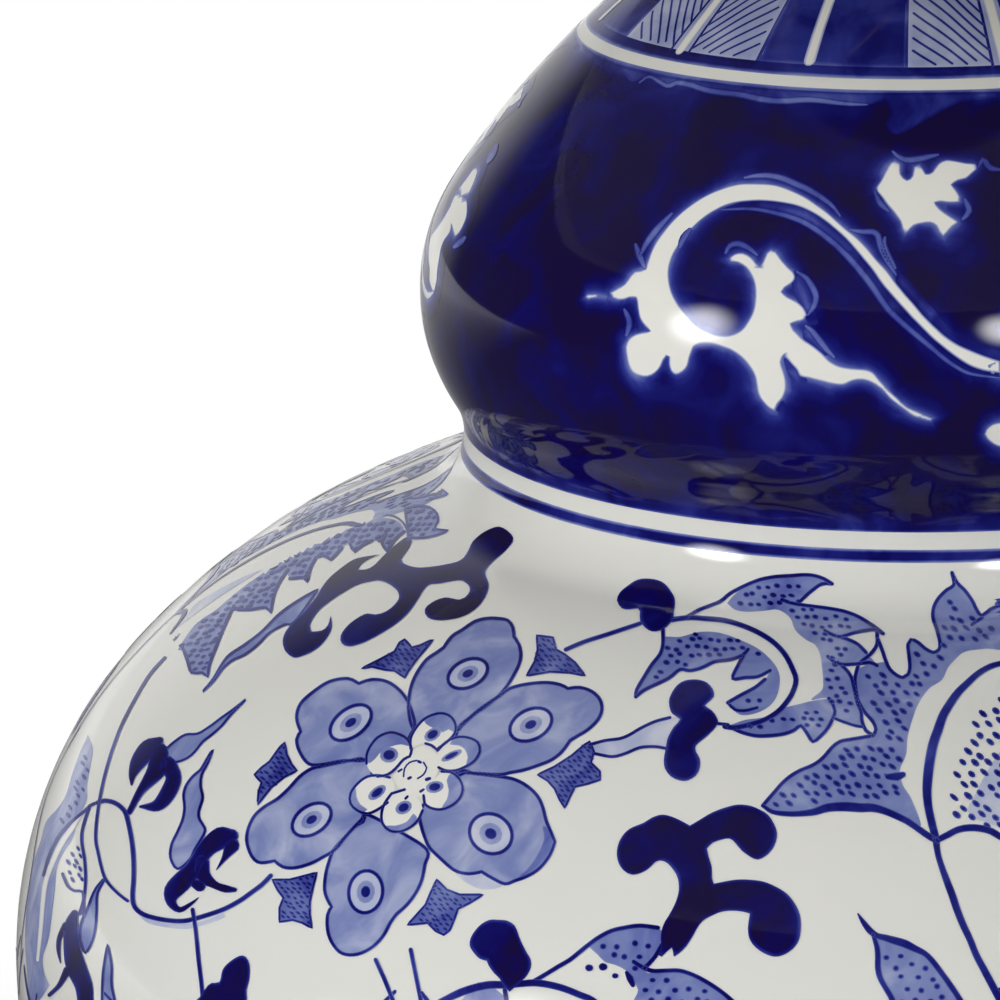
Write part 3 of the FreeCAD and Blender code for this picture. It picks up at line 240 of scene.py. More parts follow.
def relief(tree, shader, height, distance, strength=1.0):
    """Bump from a height output."""
    bump = add_node(tree, "ShaderNodeBump", strength=strength, distance=distance, height=height)
    tree.links.new(bump.outputs["Normal"], shader.inputs["Normal"])


def fine_grain(tree, shader, scale, distance, stretch=(1, 1, 1)):
    """Small even bumps."""
    relief(tree, shader, noise_on(tree, scale, stretch=stretch), distance)


outside = gourd_outline(0, outer_step)
mouth_height = outside[-1][1]
ring_inside, floor_height = foot_radius - foot_ring, body_bottom + floor_top
inside = [(ring_inside, body_bottom), (ring_inside, body_bottom + foot_recess),
          (floor_hole, body_bottom + foot_recess), (floor_hole, floor_height),
          (inner_floor_radius, floor_height)]
inside += [spot for spot in gourd_outline(wall, inner_step)
           if floor_height < spot[1] < mouth_height]
inside.append((inner_mouth_radius, mouth_height))
gourd = turned_skin("glazed_gourd", outside + inside[::-1], around)
gourd.data.set_sharp_from_angle(angle=math.radians(40))
glaze, tree, shader = finish_of("clear_glaze", (0.72, 0.71, 0.66), 0.07)
mottle(tree, shader, (0.73, 0.72, 0.67), (0.69, 0.69, 0.655), 9.0, 2.0)
fine_grain(tree, shader, *glaze_ripple)
gourd.data.materials.append(glaze)
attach(gourd, "lamp_body")
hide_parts("porcelain_body")

# Painting tools: cobalt is brushed on the raw body and the clear glaze goes over it. Each
# stroke is given where the photograph shows it and carried along the line of sight onto
# the gourd's side, as a turn about the axis and a climb up the side.

side = np.array(gourd_outline(0, 0.4 * MM))
side_runs = np.hypot(*np.diff(side, axis=0).T)
climb = np.concatenate([[0], np.cumsum(2 * side_runs / (side[1:, 0] + side[:-1, 0]))])
slope = np.gradient(side, axis=0)
slope /= np.hypot(slope[:, 0], slope[:, 1])[:, None]
nearest_reach, farthest_reach, reach_step, halvings = 0.60, 0.95, 0.0025, 14
seam = math.radians(-81.5)  # paint further left than this belongs to the next copy
coats = {}


def gap_to_side(places):
    """How far outside the body's side each place lies."""
    radius = np.interp(places[..., 2], side[:, 1], side[:, 0], left=-1, right=-1)
    return np.hypot(places[..., 0], places[..., 1]) - radius


def sighted(points):
    """Photo points carried along the lines of sight onto the body: (turn, climb)."""
    points = np.asarray(points, float)
    across, up = points[:, 0] - photo_width / 2, photo_width / 2 - points[:, 1]
    rays = (lens_pixels * np.array(look) + np.outer(across, turned_side)
            + np.outer(up, turned_up))
    rays /= np.linalg.norm(rays, axis=1)[:, None]
    start = np.array(camera.location)
    reach = np.arange(nearest_reach, farthest_reach, reach_step)
    gaps = gap_to_side(start + rays[:, None, :] * reach[None, :, None])
    struck = gaps < 0
    first = np.where(struck.any(1), struck.argmax(1), gaps.argmin(1)).clip(1)
    near, far = reach[first - 1], reach[first]
    for _ in range(halvings):
        middle = (near + far) / 2
        within = gap_to_side(start + rays * middle[:, None]) < 0
        near, far = np.where(within, near, middle), np.where(within, middle, far)
    places = start + rays * near[:, None]
    return np.stack([np.arctan2(places[:, 0], -places[:, 1]),
                     np.interp(places[:, 2], side[:, 1], climb)], axis=1)


def charted(points):
    """Points (turn in degrees, height in mm) as (turn, climb)."""
    points = np.asarray(points, float)
    return np.stack([np.radians(points[:, 0]),
                     np.interp(points[:, 1] * MM, side[:, 1], climb)], axis=1)


def curve_through(points, closed=False, step=4.0):
    """Smooth run through given points; a point given twice is a corner."""
    points = [np.array(point, float) for point in points]
    count = len(points)
    run = []
    for i in range(count if closed else count - 1):
        p1, p2 = points[i], points[(i + 1) % count]
        length = math.dist(p1[:2], p2[:2])
        if length == 0:
            continue
        p0 = points[i - 1] if closed or i else 2 * p1 - p2
        p3 = points[(i + 2) % count] if closed or i + 2 < count else 2 * p2 - p1
        pieces = max(1, round(length / step))
        for t in np.arange(pieces) / pieces:
            run.append(0.5 * (2 * p1 + (p2 - p0) * t + (2 * p0 - 5 * p1 + 4 * p2 - p3) * t ** 2
                              + (3 * p1 - p0 - 3 * p2 + p3) * t ** 3))
    return np.array(run if closed else run + [points[-1]])


def sideways(along):
    """Directions made one long, and those square to them."""
    along = along / (np.hypot(along[:, 0], along[:, 1])[:, None] + 1e-12)
    return along, np.stack([-along[:, 1], along[:, 0]], axis=1)


def edge_distance(spots, outline):
    """Distance from each spot to the closed outline, and whether it is inside."""
    start, end = outline, np.roll(outline, -1, axis=0)
    across = end - start
    offset = spots[:, None, :] - start[None]
    length = (across ** 2).sum(1) + 1e-18
    part = ((offset * across[None]).sum(2) / length[None]).clip(0, 1)
    distance = np.sqrt((((offset - part[..., None] * across[None])) ** 2).sum(2)).min(1)
    above = (start[None, :, 1] > spots[:, None, 1]) != (end[None, :, 1] > spots[:, None, 1])
    rise = np.where(across[:, 1] == 0, 1e-18, across[:, 1])
    crossing = start[None, :, 0] + offset[..., 1] * (across[:, 0] / rise)[None]
    inside = (above & (spots[:, None, 0] < crossing)).sum(1) % 2 == 1
    return distance, inside


def lay(coat, spots, faces):
    """Adds spots (turn, climb, lift, cobalt) and faces, turned outwards, to a coat."""
    spots = np.asarray(spots, float)
    faces = [face for face in faces if spots[list(face), 0].mean() > seam]
    area = 0
    for face in faces:
        ring = spots[list(face), :2]
        after = np.roll(ring, -1, axis=0)
        area += (ring[:, 0] * after[:, 1] - after[:, 0] * ring[:, 1]).sum()
    if area < 0:
        faces = [face[::-1] for face in faces]
    coats.setdefault(coat, []).append((spots, faces))


def fill(coat, outline, lift, tone, edge_tone, soft=0.22):
    """Paint inside a closed outline on the chart; the cobalt changes near its edge."""
    radius = np.interp(outline[:, 1].mean(), climb, side[:, 0])
    grain, soft_edge = 1.5 * MM / radius, soft * MM / radius
    _, inward = sideways(np.roll(outline, -1, axis=0) - np.roll(outline, 1, axis=0))
    low, high = outline.min(0), outline.max(0)
    grid = np.stack(np.meshgrid(np.arange(low[0] + grain / 2, high[0], grain),
                                np.arange(low[1] + grain / 2, high[1], grain)), -1).reshape(-1, 2)
    spots = np.concatenate([outline + inward * soft_edge, outline - inward * soft_edge, grid])
    room = np.full(len(spots), 0.8 * soft_edge)
    room[2 * len(outline):] = soft_edge + grain / 4
    distance, inside = edge_distance(spots, outline)
    spots = spots[inside & (distance > room)]
    points = [Vector(point) for point in np.concatenate([outline, spots])]
    border = list(range(len(outline)))
    verts, _, faces, *_ = delaunay_2d_cdt(points, [], [border], 1, 1e-7)
    verts = np.array([tuple(vert) for vert in verts])
    distance, _ = edge_distance(verts, outline)
    cobalt = edge_tone + (tone - edge_tone) * (distance / soft_edge).clip(0, 1)
    lifts = np.full(len(verts), lift * MM)
    lay(coat, np.column_stack([verts, lifts, cobalt]), faces)


def ribbon(coat, run, lift, tone, edge_tone, place=sighted, soft=1.4, closed=False):
    """Brush stroke along a run of (x, y, half-width), with round ends."""
    run = np.array(run, float)
    ahead, behind = np.roll(run, -1, axis=0), np.roll(run, 1, axis=0)
    if not closed:
        ahead[-1], behind[0] = run[-1], run[0]
    along, across = sideways((ahead - behind)[:, :2])
    if not closed:
        ends = []
        for end, way in ((0, -1), (-1, 1)):
            x, y, half = run[end]
            for reach, part in ((0.6, 0.8), (1.0, 0.3)):
                ends.append((x + way * reach * half * along[end, 0],
                             y + way * reach * half * along[end, 1], half * part))
        run = np.concatenate([[ends[1], ends[0]], run, [ends[2], ends[3]]])
        across = np.concatenate([across[:1], across[:1], across, across[-1:], across[-1:]])
    half = run[:, 2]
    core = half - np.minimum(soft, 0.6 * half)
    columns = np.stack([-half, -core, core, half], axis=1)
    places = place((run[:, None, :2] + across[:, None, :] * columns[..., None]).reshape(-1, 2))
    cobalt = np.tile([edge_tone, tone, tone, edge_tone], (len(run), 1))
    if not closed:
        cobalt[[0, -1]] = edge_tone
    rows = len(run)
    faces = [(4 * i + k, 4 * i + k + 1, 4 * j + k + 1, 4 * j + k)
             for i, j in zip(range(rows if closed else rows - 1), [*range(1, rows), 0])
             for k in range(3)]
    lay(coat, np.column_stack([places, np.full(len(places), lift * MM), cobalt.ravel()]), faces)


# How much cobalt each kind of paint holds, from bare white to the near-black of the
# loaded brush, and how high its coat lies over the body, in mm.

bare, faint, thin_wash, leaf_wash = 0.0, 0.16, 0.34, 0.40
pooled, drawn, loaded = 0.56, 0.82, 0.95
wash_lift, over_lift, shade_lift, line_lift, ink_lift = 0.03, 0.045, 0.06, 0.08, 0.1


def wash(cobalt, outline, lift=wash_lift):
    """Even paint inside an outline, thinner at its edge."""
    fill("washes", sighted(curve_through(outline, closed=True)), lift, cobalt, 0.8 * cobalt)


def line(points, width, closed=False, cobalt=drawn, lift=line_lift):
    """Line of one width through points."""
    run = [(x, y, width / 2) for x, y in curve_through(points, closed)]
    ribbon("lines", run, lift, cobalt, 0.62 * cobalt, closed=closed)


def outlined(cobalt, outline, width, lift=wash_lift):
    """Washed shape with a line round it."""
    wash(cobalt, outline, lift)
    line(outline, width, closed=True)


def brush(points, lift=line_lift + 0.01):
    """Stroke whose points hold their own half-widths."""
    ribbon("lines", curve_through(points), lift, drawn, 0.55)


def loaded_brush(points):
    """Broad stroke of thick cobalt: a bluer rim below, a near-black core above."""
    run = curve_through(points)
    ribbon("ink", run, ink_lift, 0.86, 0.6)
    run[:, 2] = np.maximum(run[:, 2] - 1.6, 0.25 * run[:, 2])
    ribbon("ink", run, ink_lift + 0.02, loaded, 0.86, soft=3.0)


def loaded_blot(outline):
    """Broad shape of thick cobalt, bluer at its rim."""
    outline = sighted(curve_through(outline, closed=True))
    fill("ink", outline, ink_lift, loaded, 0.70, soft=0.55)


def stipple(region, spacing, size, lean, length, seed, coat="dabs"):
    """Rows of small dabs inside a region, each laid with a flick of the brush."""
    region = curve_through(region, closed=True, step=8.0)
    dice = random.Random(seed)
    low, high = region.min(0), region.max(0)
    way = np.array([math.cos(math.radians(lean)), math.sin(math.radians(lean))])
    centres = []
    stray = 0.2 * spacing
    for row, y in enumerate(np.arange(low[1], high[1], 0.8 * spacing)):
        for x in np.arange(low[0] + row % 2 * spacing / 2, high[0], spacing):
            centres.append((x + dice.uniform(-stray, stray), y + dice.uniform(-stray, stray)))
    centres = np.array(centres)
    distance, inside = edge_distance(centres, region)
    centres = centres[inside & (distance > 0.6 * size)]
    corners = 8
    around = np.arange(corners) * math.tau / corners
    spots = []
    for centre in centres:
        long = size * (1 + (length - 1) * dice.uniform(0.6, 1.3))
        wide = size * dice.uniform(0.8, 1.1)
        side_way = np.array([-way[1], way[0]])
        spots.append(centre)
        spots.extend(centre + long * math.cos(a) * way + wide * math.sin(a) * side_way
                     for a in around)
    if not spots:
        return
    cobalt = np.tile([0.9] + corners * [0.58], len(centres))
    faces = [(first, first + 1 + k, first + 1 + (k + 1) % corners)
             for first in range(0, len(spots), corners + 1) for k in range(corners)]
    lay(coat, np.column_stack([sighted(spots), np.full(len(spots), line_lift * MM), cobalt]),
        faces)


# Flower: six broad petals washed in thin cobalt and outlined, each with a ringed eye,
# round an inner flower left white with shaded tips and a dotted heart.

petals = [
    [(368, 760), (345, 761), (322, 765), (309, 764), (300, 752), (297, 740), (301, 732),
     (301, 732), (297, 718), (301, 704), (314, 692), (330, 682), (348, 679), (359, 684),
     (359, 684), (372, 680), (387, 682), (399, 690), (407, 700), (412, 712), (415, 725),
     (411, 735), (400, 750)],
    [(413, 728), (409, 712), (409, 700), (412, 685), (418, 672), (427, 660), (437, 653),
     (444, 648), (444, 648), (452, 637), (463, 630), (475, 622), (487, 619), (498, 619),
     (508, 621), (513, 628), (514, 637), (514, 637), (519, 645), (521, 655), (519, 665),
     (514, 675), (508, 685), (500, 695), (488, 705), (474, 715), (462, 726), (457, 731),
     (440, 730), (425, 735)],
    [(457, 733), (470, 718), (485, 706), (500, 696), (510, 689), (525, 685), (545, 683),
     (560, 685), (568, 689), (568, 689), (580, 688), (592, 692), (600, 700), (602, 710),
     (598, 720), (588, 730), (578, 736), (570, 741), (570, 741), (562, 752), (552, 760),
     (540, 765), (525, 770), (510, 773), (500, 775), (480, 774), (465, 773), (457, 773)],
    [(457, 773), (475, 774), (500, 777), (515, 780), (528, 787), (538, 797), (543, 808),
     (546, 820), (550, 830), (555, 842), (555, 842), (550, 855), (540, 868), (528, 876),
     (515, 881), (505, 884), (492, 878), (482, 872), (482, 872), (470, 874), (458, 872),
     (450, 867), (440, 858), (430, 848), (426, 840), (422, 828), (420, 815), (424, 805)],
    [(427, 850), (425, 865), (422, 880), (416, 893), (407, 905), (397, 914), (397, 914),
     (391, 922), (384, 935), (374, 946), (362, 953), (350, 955), (340, 952), (332, 942),
     (328, 930), (328, 915), (332, 907), (332, 907), (328, 900), (325, 890), (326, 875),
     (330, 860), (334, 850), (343, 840), (352, 830), (362, 820), (368, 815), (400, 832)],
    [(365, 818), (355, 827), (345, 838), (335, 850), (322, 858), (310, 864), (295, 868),
     (283, 867), (275, 861), (275, 861), (262, 863), (255, 860), (250, 852), (247, 840),
     (249, 828), (255, 816), (265, 807), (278, 799), (290, 788), (300, 777), (312, 769),
     (325, 766), (345, 762), (365, 760), (372, 776), (352, 793)],
]
petal_pool = [(543, 826), (552, 832), (553, 843), (548, 855), (538, 867), (526, 875), (518, 878),
    (530, 866), (540, 850), (544, 838)]
stray_wash = [(455, 872), (470, 876), (482, 874), (492, 880), (503, 885), (495, 889), (480, 889),
    (465, 882)]
inner_petals = [
    [(367, 764), (367, 756), (370, 748), (378, 738), (390, 733), (400, 735), (408, 740),
     (412, 750), (410, 757), (410, 757), (404, 760), (396, 769), (388, 775), (378, 777),
     (370, 771)],
    [(411, 749), (411, 739), (416, 729), (424, 720), (434, 715), (444, 714), (452, 718),
     (456, 726), (455, 734), (450, 740), (444, 745), (437, 750), (437, 750), (432, 746),
     (426, 744), (418, 746)],
    [(438, 751), (446, 743), (456, 738), (468, 738), (478, 743), (480, 752), (475, 761),
     (466, 767), (456, 771), (446, 771), (439, 768), (439, 768)],
    [(442, 772), (452, 773), (460, 780), (463, 790), (459, 800), (450, 807), (440, 810),
     (430, 808), (425, 804), (425, 804), (424, 796), (430, 786)],
    [(423, 811), (418, 821), (410, 828), (400, 832), (390, 831), (383, 824), (382, 814),
     (385, 804), (392, 794), (392, 794), (405, 790), (418, 798)],
    [(388, 803), (378, 810), (368, 814), (358, 811), (351, 804), (351, 794), (358, 784),
     (368, 777), (380, 776), (390, 778), (390, 778), (396, 786)],
]
inner_tips = [
    [(368, 757), (370, 748), (378, 738), (390, 733), (400, 735), (408, 740), (411, 747),
     (402, 745), (392, 747), (382, 752), (375, 760), (369, 764)],
    [(424, 721), (434, 715), (444, 714), (452, 718), (456, 726), (455, 733), (449, 730),
     (443, 733), (437, 730), (430, 727)],
    [(456, 738), (468, 738), (478, 743), (480, 752), (475, 761), (466, 767), (468, 758),
     (465, 750), (459, 746), (450, 745)],
    [(452, 773), (460, 780), (463, 790), (459, 800), (450, 807), (442, 808), (447, 800),
     (449, 790), (447, 781)],
    [(418, 821), (410, 828), (400, 832), (390, 831), (386, 826), (396, 826), (407, 822),
     (414, 814)],
    [(358, 811), (351, 804), (351, 794), (356, 788), (357, 797), (361, 805), (368, 810),
     (364, 813)],
]
heart_specks = [
    [(419, 762, 1.6), (421, 763, 1.4)],
    [(409, 779, 1.6), (411, 778, 1.5)],
    [(427, 780, 1.9), (430, 779, 1.7)],
    [(421, 792, 1.5), (424, 790, 1.3)],
    [(406, 799, 1.4), (408, 797, 1.3)],
    [(399, 772, 1.3), (402, 770, 1.2)],
]
heart_rings = [
    [(404, 777), (405, 769), (410, 763), (417, 761)],
    [(424, 763), (427, 768), (424, 775), (418, 779)],
]
eyes = [  # centre, end of the long half, half-width
    ((351, 723), (370, 709), 14), ((468, 674), (487, 665), 13.5),
    ((531, 725), (551, 715), 15), ((491, 834), (510, 845), 19.5),
    ((366, 892), (369, 871), 17), ((312, 820), (330, 808), 14),
]
inner_blots = [
    ((389.5, 755.5), (396.5, 754), 6), ((433, 735), (439, 731), 4.6), ((452, 756), (460, 752), 3),
    ((435, 787.5), (442, 786), 4.6), ((404, 808), (410, 805), 5), ((377.5, 793), (384, 788), 4.2),
]
heart_lift = line_lift + 0.02


def oval(centre, tip, half, size=1.0):
    """Ring of points round a centre, its long half ending at the tip."""
    long = np.subtract(tip, centre)
    wide = half * np.array([-long[1], long[0]]) / np.hypot(*long)
    return [centre + size * (long * math.cos(a) + wide * math.sin(a))
            for a in np.arange(12) * math.tau / 12]


for petal in petals:
    outlined(thin_wash, petal, 3.8)
wash(pooled, petal_pool, over_lift)
wash(faint, stray_wash)
for centre, tip, half in eyes:
    outlined(faint, oval(centre, tip, half), 4.0, over_lift)
    wash(thin_wash, oval(centre, tip, half, 0.55), shade_lift)
    wash(drawn, oval(centre, tip, half, 0.28), line_lift + 0.01)
for petal in inner_petals:
    outline = sighted(curve_through(petal, closed=True))
    fill("washes", outline, heart_lift, bare, bare)
for tip in inner_tips:
    wash(leaf_wash, tip, heart_lift + 0.008)
wash(bare, [(414, 750), (424, 746), (436, 752), (440, 768), (432, 784), (424, 797), (410, 794),
            (397, 786), (394, 777), (404, 762)], heart_lift + 0.004)
for petal in inner_petals:
    line(petal[:-1], 3.0, lift=heart_lift + 0.015)
for blot in inner_blots:
    wash(leaf_wash, oval(*blot, 1.3), heart_lift + 0.012)
    wash(drawn, oval(*blot, 0.85), heart_lift + 0.02)
for stroke in heart_specks:
    brush(stroke, heart_lift + 0.02)
for ring in heart_rings:
    line(ring, 1.9, lift=heart_lift + 0.015)

# Trefoils: small hatched leaves that stand between the petals, and the leaf and stems
# that leave the flower.

trefoils = [
    [(362, 669), (380, 660), (395, 652), (400, 643), (405, 640), (412, 648), (420, 646),
     (433, 640), (425, 650), (415, 662), (408, 672), (405, 678), (395, 671), (385, 670),
     (372, 667)],
    [(285, 743), (287, 755), (292, 765), (297, 771), (285, 777), (272, 787), (264, 797),
     (258, 805), (259, 792), (262, 783), (255, 775), (262, 768), (270, 762), (275, 755),
     (280, 748)],
    [(273, 880), (290, 880), (317, 873), (313, 888), (310, 902), (310, 915), (312, 928),
     (303, 923), (293, 920), (280, 922), (280, 908), (284, 898), (278, 890)],
    [(437, 880), (447, 890), (460, 895), (483, 895), (470, 903), (458, 909), (455, 918),
     (450, 930), (444, 935), (436, 931), (428, 923), (408, 925), (418, 914), (426, 905),
     (431, 893)],
    [(537, 636), (553, 638), (556, 650), (565, 655), (575, 663), (585, 676), (570, 673),
     (550, 672), (527, 676), (535, 662), (538, 650)],
    [(538, 775), (555, 767), (572, 756), (585, 745), (590, 742), (594, 752), (591, 763),
     (600, 772), (600, 780), (588, 784), (575, 787), (570, 797), (565, 808), (560, 800),
     (555, 789), (548, 781)],
]
leaf_top = [(590, 745), (605, 741), (620, 739), (630, 735), (640, 729), (655, 722), (670, 718)]
leaf_low = [(595, 754), (612, 757), (625, 754), (640, 748), (655, 747), (667, 749)]
side_leaf = (leaf_top[:1] + leaf_top + [(680, 718), (682, 730), (667, 749)] + leaf_low[::-1]
             + leaf_low[:1])
flower_stems = [
    [(566, 650), (585, 642), (610, 634), (640, 624)],
    [(376, 960), (385, 980), (393, 1000), (398, 1012)],
    [(411, 950), (416, 975), (421, 1000), (423, 1012)],
]
for seed, trefoil in enumerate(trefoils):
    cornered = [point for point in trefoil for _ in range(2)]
    outlined(pooled, cornered, 2.8)
    stipple(cornered, spacing=6.2, size=1.7, lean=35, length=2.2, seed=seed)
wash(faint, side_leaf)
for edge in (leaf_top, leaf_low):
    line(edge, 3.4)
for stem in flower_stems:
    line(stem, 4.6)

# Claws and commas: broad strokes of a brush loaded with thick cobalt, near black where
# it pooled, with the thin leaf that each one drags behind it.

left_claw = [(512, 535), (500, 527), (485, 532), (473, 542), (468, 552), (460, 561), (440, 566),
    (418, 568), (404, 564), (401, 560), (401, 560), (408, 550), (412, 541), (408, 537),
    (400, 542), (390, 550), (382, 558), (374, 566), (366, 570), (358, 570), (358, 570),
    (362, 564), (370, 559), (380, 555), (380, 555), (366, 557), (354, 560), (342, 568),
    (330, 578), (322, 588), (316, 598), (306, 610), (294, 622), (286, 632), (283, 642),
    (286, 652), (294, 658), (304, 656), (316, 650), (326, 640), (332, 628), (331, 616),
    (331, 616), (328, 626), (322, 631), (312, 632), (312, 632), (310, 626), (314, 618),
    (320, 610), (330, 602), (342, 594), (356, 586), (370, 582), (380, 581), (390, 585),
    (398, 592), (399, 599), (394, 606), (386, 612), (376, 615), (368, 614), (360, 617),
    (348, 626), (341, 636), (342, 644), (350, 647), (362, 644), (378, 636), (394, 626),
    (408, 614), (418, 600), (424, 590), (430, 585), (440, 584), (450, 582), (462, 581),
    (470, 588), (468, 595), (460, 600), (445, 598), (432, 603), (425, 610), (428, 618),
    (440, 621), (460, 618), (475, 610), (485, 598), (489, 585), (485, 573), (492, 563),
    (505, 552), (513, 542)]
right_claw = [(690, 826), (690, 826), (700, 820), (712, 813), (725, 808), (738, 805), (750, 806),
    (760, 810), (768, 815), (774, 824), (777, 833), (776, 842), (772, 850), (766, 856),
    (758, 860), (750, 857), (742, 851), (736, 844), (730, 839), (722, 840), (713, 843),
    (707, 849), (707, 849), (709, 858), (712, 868), (712, 878), (714, 884), (714, 884),
    (724, 882), (736, 880), (750, 880), (764, 882), (776, 887), (787, 894), (795, 904),
    (800, 915), (801, 928), (799, 940), (793, 949), (784, 955), (775, 957), (765, 954),
    (756, 948), (750, 940), (748, 930), (749, 920), (750, 914), (750, 914), (743, 912),
    (733, 911), (722, 912), (712, 916), (703, 921), (697, 929), (692, 938), (686, 947),
    (680, 953), (674, 957), (674, 957), (672, 948), (668, 951), (662, 957), (662, 957),
    (658, 955), (661, 948), (661, 935), (664, 924), (670, 914), (676, 902), (679, 890),
    (678, 879), (674, 871), (668, 864), (662, 861), (656, 862), (650, 868), (642, 873),
    (632, 875), (624, 871), (619, 864), (617, 855), (618, 846), (622, 837), (630, 829),
    (644, 823), (652, 818), (662, 815), (672, 817), (683, 822)]
commas = [
    [(617, 601), (620, 593), (628, 586), (638, 580), (650, 579), (662, 582), (670, 590),
     (675, 600), (674, 612), (673, 620), (667, 627), (660, 631), (652, 632), (645, 628),
     (640, 621), (640, 612), (638, 609), (630, 610), (622, 609)],
    [(669, 703), (671, 695), (677, 686), (685, 681), (697, 680), (707, 683), (713, 690),
     (714, 697), (708, 703), (705, 706), (712, 711), (717, 718), (718, 724), (712, 732),
     (703, 740), (696, 746), (696, 752), (700, 759), (700, 768), (696, 776), (688, 781),
     (680, 781), (671, 777), (665, 769), (664, 760), (666, 748), (668, 738), (674, 727),
     (680, 720), (672, 714)],
    [(498, 920), (508, 921), (515, 926), (518, 933), (521, 941), (526, 951), (531, 960),
     (531, 968), (527, 976), (522, 981), (510, 992), (510, 992), (503, 985), (500, 979),
     (494, 973), (489, 966), (487, 961), (487, 961), (480, 959), (474, 953), (470, 946),
     (471, 938), (476, 930), (482, 924), (490, 920)],
]
buds = [
    [(160, 741, 4), (150, 748, 9), (139, 762, 8), (133, 775, 4), (132, 785, 1)],
    [(160, 752, 9), (158, 768, 10), (150, 780, 7), (140, 793, 4), (130, 812, 3)],
    [(168, 765, 9), (174, 778, 8), (168, 794, 8), (157, 806, 6), (141, 807, 1.5)],
    [(232, 836, 7), (222, 838, 11), (208, 848, 9), (198, 862, 8), (192, 872, 9), (182, 882, 10),
     (173, 892, 9), (172, 903, 5), (180, 910, 3), (190, 905, 2), (199, 898, 0.5)],
    [(232, 846, 8), (225, 858, 3), (217, 870, 0.5)],
    [(202, 862, 8), (203, 875, 8), (215, 885, 4), (226, 889, 4), (235, 890, 2.5)],
    [(196, 884, 5), (200, 886, 6)],
    [(75, 914, 4), (72, 925, 7), (72, 945, 8), (76, 965, 10), (84, 985, 9), (86, 1000, 8),
     (88, 1014, 7)],
    [(66, 925, 3), (60, 938, 2.5), (59, 950, 2), (61, 963, 0.5)],
    [(68, 970, 4), (60, 985, 2.5), (50, 995, 2)],
]
crescent = [(220, 982), (223, 970), (230, 962), (240, 956), (246, 957), (250, 965), (250, 978),
    (247, 990), (243, 1006), (200, 1006), (205, 990), (212, 983)]
slim_leaves = [
    [(318, 590), (318, 590), (300, 600), (280, 614), (262, 632), (245, 645), (230, 655),
     (222, 665), (213, 680), (203, 692), (203, 692), (215, 680), (222, 670), (232, 661),
     (245, 655), (258, 645), (270, 633), (285, 625), (295, 622)],
    [(166, 751), (175, 742), (186, 735), (198, 734), (210, 727), (222, 718), (232, 711),
     (246, 700), (246, 700), (232, 714), (222, 726), (212, 735), (203, 742), (195, 752),
     (188, 758), (178, 762), (165, 763)],
    [(106, 878), (99, 885), (94, 893), (88, 908), (82, 922), (80, 935), (82, 945), (86, 953),
     (93, 940), (96, 925), (97, 910), (98, 893)],
    [(108, 945), (108, 945), (105, 962), (103, 980), (104, 1010), (116, 1010), (112, 985),
     (112, 965)],
]
slim_petal = [(178, 869), (171, 858), (172, 845), (178, 832), (183, 820), (185, 808), (184, 795),
    (187, 785), (194, 776), (201, 770), (207, 760), (213, 750), (213, 750), (208, 763),
    (202, 775), (201, 787), (203, 798), (199, 812), (200, 820), (205, 828), (204, 835),
    (195, 850), (190, 860)]
for stroke in buds:
    loaded_brush(stroke)
for blot in commas + [left_claw, right_claw, crescent]:
    loaded_blot(blot)
for leaf in slim_leaves:
    outlined(leaf_wash, leaf, 2.9)
outlined(thin_wash, slim_petal, 3.2)

# Stems: long lines of the brush that loop between flower, buds and leaves, each drawn in
# one pull, with a pale shadow where the longest one turns.

thin_stems = [
    [(165, 658), (150, 675), (135, 700), (120, 730), (108, 765), (100, 800), (96, 835), (99, 855),
     (104, 875), (110, 885), (120, 895), (128, 901)],
    [(98, 803), (92, 805), (84, 812), (72, 822), (60, 835), (50, 855), (44, 875)],
    [(90, 806), (84, 825), (82, 840), (85, 860), (86, 880), (84, 900), (80, 914)],
]
loop_stem = [(98, 803), (105, 801), (115, 803), (124, 810), (128, 820), (132, 840), (134, 860),
    (134, 880), (133, 895), (135, 907), (145, 915), (165, 920), (185, 921), (205, 916),
    (225, 909), (240, 901), (250, 894), (262, 885), (271, 876)]
loop_shadow = [(136, 910), (148, 918), (165, 923), (187, 924), (206, 920), (224, 913), (226, 917),
    (208, 924), (187, 929), (163, 927), (146, 922)]
bud_stem = [(193, 910), (196, 930), (199, 960), (202, 985), (204, 1010)]
for stem in thin_stems:
    line(stem, 3.4)
line(loop_stem, 5.0)
wash(faint, loop_shadow)
line(bud_stem, 4.4)

# Leaves at the left, seen nearly edge on: the lobes of a big leaf along its rib, and below
# them the lining of the next one, which the stems cross.

far_leaf_washes = [
    [(180, 646), (196, 624), (216, 610), (230, 598), (250, 582), (270, 568), (290, 556),
     (314, 544), (338, 530), (358, 521), (386, 518), (400, 523), (404, 532), (396, 539),
     (387, 551), (387, 551), (382, 543), (372, 541), (362, 546), (355, 552), (355, 552),
     (350, 544), (342, 548), (336, 555), (331, 560), (331, 560), (324, 556), (316, 558),
     (310, 570), (308, 582), (308, 582), (304, 578), (290, 579), (288, 572), (288, 572),
     (280, 582), (274, 596), (271, 613), (271, 613), (266, 608), (250, 610), (238, 610),
     (230, 614), (224, 628), (216, 648), (210, 664), (208, 677), (208, 677), (202, 673),
     (192, 673), (188, 662), (185, 652), (178, 650)],
    [(405, 508), (405, 508), (418, 506), (430, 508), (437, 514), (438, 522), (435, 529),
     (448, 531), (448, 531), (438, 535), (424, 538), (409, 538), (409, 538)],
    [(400, 505), (412, 491), (425, 487), (437, 488), (448, 494), (448, 494), (440, 497),
     (425, 500), (412, 504)],
]
far_rib = [(174, 640), (190, 620), (210, 600), (238, 579), (270, 558), (302, 542), (330, 529),
    (358, 519), (386, 515), (400, 520), (407, 530), (408, 540)]
